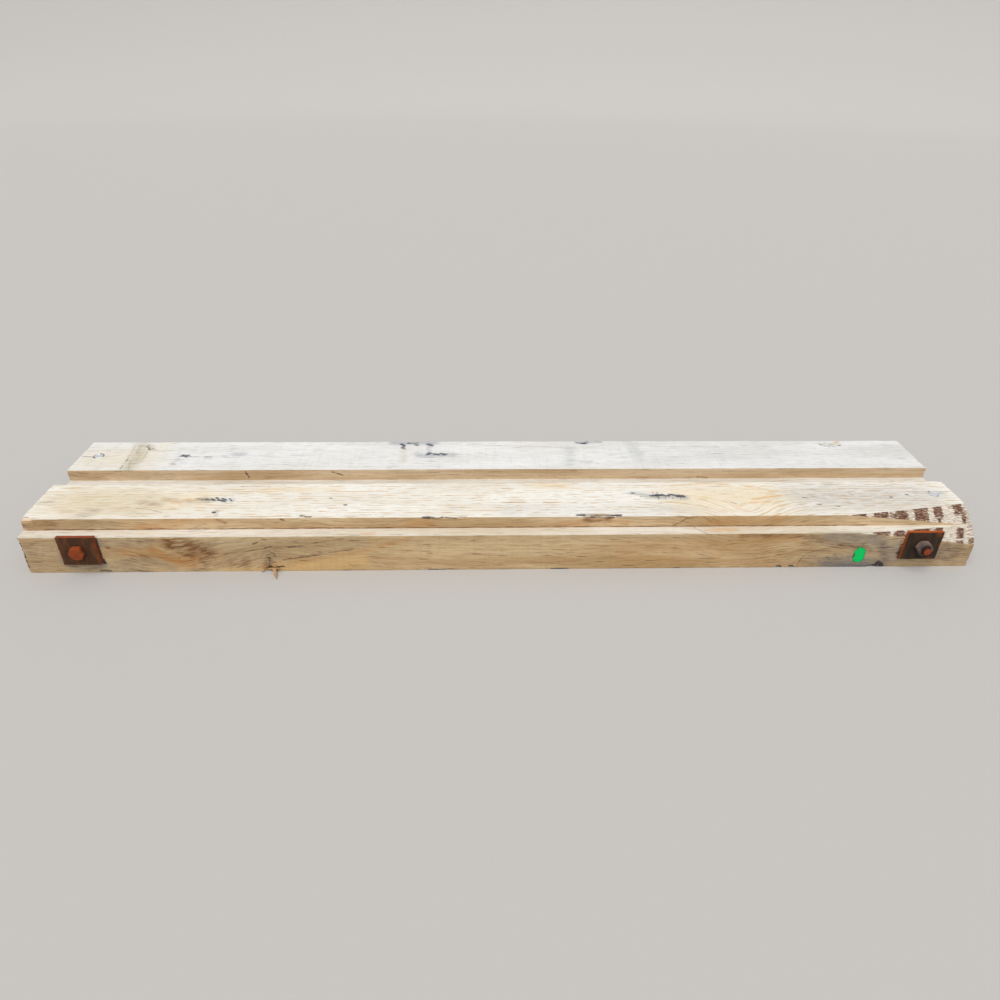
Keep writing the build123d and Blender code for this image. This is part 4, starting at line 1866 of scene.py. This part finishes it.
def oak_finishes() -> tuple[dict[Zone, bpy.types.Material], dict[Zone, bpy.types.Material]]:
    """Make the oak's finish for each zone of the two sleepers.

    Returns:
        The front sleeper's finishes, then the rear one's.
    """
    side = OakFinish("sawn_oak_side", wane=Wane())
    rear_side = replace(
        side,
        name="sawn_oak_rear_side",
        light="#dfc6a0",
        deep="#c4a67d",
        line="#9c7850",
        streak_strength=0.35,
        saw_strength=0.1,
        wane=None,
    )
    riser = replace(
        side,
        name="sawn_oak_riser",
        light="#e2c7a0",
        deep="#c5a67b",
        line="#96734c",
        line_gap=10.0,
        line_strength=0.35,
        streak_strength=0.45,
        fibre_strength=0.3,
        saw_strength=0.04,
        check_strength=0.5,
    )
    rear_riser = replace(
        riser,
        name="sawn_oak_rear_riser",
        light="#e7d0af",
        deep="#ceb18b",
        line="#aa8a63",
        line_strength=0.25,
        streak_strength=0.4,
        fibre_strength=0.28,
        check_strength=0.4,
        wane=None,
    )
    top = OakFinish(
        "bleached_oak_top",
        light="#f6f3ea",
        deep="#ede7da",
        line="#cfa25f",
        line_from=0.4,
        line_strength=0.72,
        streak_strength=0.15,
        fibre_strength=0.24,
        saw_strength=0.02,
        dash_length=45.0,
        check_strength=0.4,
        ochre="#ecd8b0",
        amber="#e2a258",
        grey="#b5aa8a",
        brown="#a9927f",
        blue="#8c95a0",
        tannin="#34394a",
        weathered="#9a836a",
        wane=Wane(),
    )
    rear_top = replace(
        top,
        name="bleached_oak_rear_top",
        light="#f1f0ed",
        deep="#e4e2dc",
        line="#b4aea4",
        line_gap=14.0,
        line_strength=0.25,
        fibre_strength=0.2,
        saw_strength=0.06,
        dash_length=40.0,
        wane=None,
    )
    ledge = replace(
        top,
        name="bleached_oak_ledge",
        light="#eae4d7",
        deep="#dfd3bd",
        line="#bfa27c",
        line_gap=12.0,
        line_from=0.3,
        line_strength=0.4,
        streak_strength=0.25,
        fibre_strength=0.2,
        dash_length=60.0,
        check_strength=0.5,
    )
    rear_ledge = replace(ledge, name="bleached_oak_rear_ledge", wane=None)
    # The groove's floor is the rear ledge's oak painted greyer and a little darker, as painted shade between
    # the risers.
    groove = replace(
        rear_ledge,
        name="shaded_oak_groove",
        light="#e4e0d7",
        deep="#d6cebf",
        line="#b09c7e",
        streak_strength=0.3,
    )
    shaded = groove.build()
    front = {
        Zone.TOP: top.build(),
        Zone.LEDGE: ledge.build(),
        Zone.GROOVE: shaded,
        Zone.RISER: riser.build(),
        Zone.END: EndGrainFinish("end_grain_oak", -91.3, -41.5).build(),
        Zone.SIDE: side.build(),
    }
    rear = {
        Zone.TOP: rear_top.build(),
        Zone.LEDGE: rear_ledge.build(),
        Zone.GROOVE: shaded,
        Zone.RISER: rear_riser.build(),
        Zone.END: EndGrainFinish("end_grain_rear_oak", 150.0, 210.0, "#cdb083", "#ab8a60").build(),
        Zone.SIDE: rear_side.build(),
    }
    return front, rear


def main() -> None:
    """Build the stage and every piece, in order."""
    logging.basicConfig(level=logging.INFO, format="%(message)s")
    bpy.context.scene.view_settings.view_transform = "Standard"
    Studio().build()
    front, rear = oak_finishes()
    front_sleeper = Sleeper(
        "front_sleeper_oak",
        "front_sleeper",
        FRONT_NAIL,
        front,
        log=Log(),
        knots=FRONT_KNOTS,
        stains=FRONT_TOP + FRONT_RISER_AND_LEDGE + FRONT_FACE,
        dents=FRONT_DENTS,
        bark=WANE_BARK,
    )
    rear_sleeper = Sleeper(
        "rear_sleeper_oak",
        "rear_sleeper",
        REAR_NAIL,
        rear,
        knots=REAR_KNOTS,
        stains=REAR_TOP + REAR_FACE,
        dents=REAR_DENTS,
        seed=4,
    )
    pieces = [front_sleeper.build(), rear_sleeper.build(), TornKnot(SPLINTERS).build(front[Zone.SIDE])]
    brown = RustFinish("rusted_plate_brown", "#48301d", "#643b20", "#8f4526").build()
    black = RustFinish("rusted_plate_black", "#30261f", "#44301f", "#ae5018").build()
    orange = RustFinish("rusted_bolt_orange", "#4a2816", "#763818", "#98441a").build()
    dull = RustFinish("rusted_nut_brown", "#6a5953", "#8f776c", "#a4552e").build()
    for node, finish, edges, fresh, patches in (
        ("front_left_plate", brown, {Edge.TOP: 0.9, Edge.RIGHT: 0.9}, 0.25, LEFT_PATCHES),
        ("front_right_plate", black, {Edge.TOP: 0.95, Edge.LEFT: 1.0, Edge.RIGHT: 0.4}, 0.1, RIGHT_PATCHES),
        ("rear_left_plate", brown, {Edge.TOP: 0.9, Edge.LEFT: 0.6}, 0.3, RIGHT_PATCHES),
        ("rear_right_plate", black, {Edge.TOP: 0.9, Edge.RIGHT: 0.7}, 0.2, LEFT_PATCHES),
    ):
        pieces.append(PlateWasher(node, finish, edges, fresh, patches).build())
    seat_x, seat_out, seat_height = 1145 * MM, 270 * MM, 78 * MM
    for fastener, node, end, outward, finish in (
        (TieBolt(), "left_tie_bolt", -1, -1, orange),
        (TieBolt(), "right_tie_bolt", 1, 1, orange),
        (HexNut(), "left_nut", -1, 1, dull),
        (HexNut(), "right_nut", 1, -1, dull),
    ):
        seat = Vector((end * seat_x, outward * seat_out, seat_height))
        pieces.append(fastener.build(node, seat, outward, finish))
    bright = NailFinish("stamped_aluminium").build()
    for node in ("front_marking_nail", "rear_marking_nail"):
        pieces.append(MarkingNail().build(node, bright))
    for piece in pieces:
        log.info("%s: %d faces", piece.name, len(piece.data.polygons))


if __name__ == "__main__":
    main()
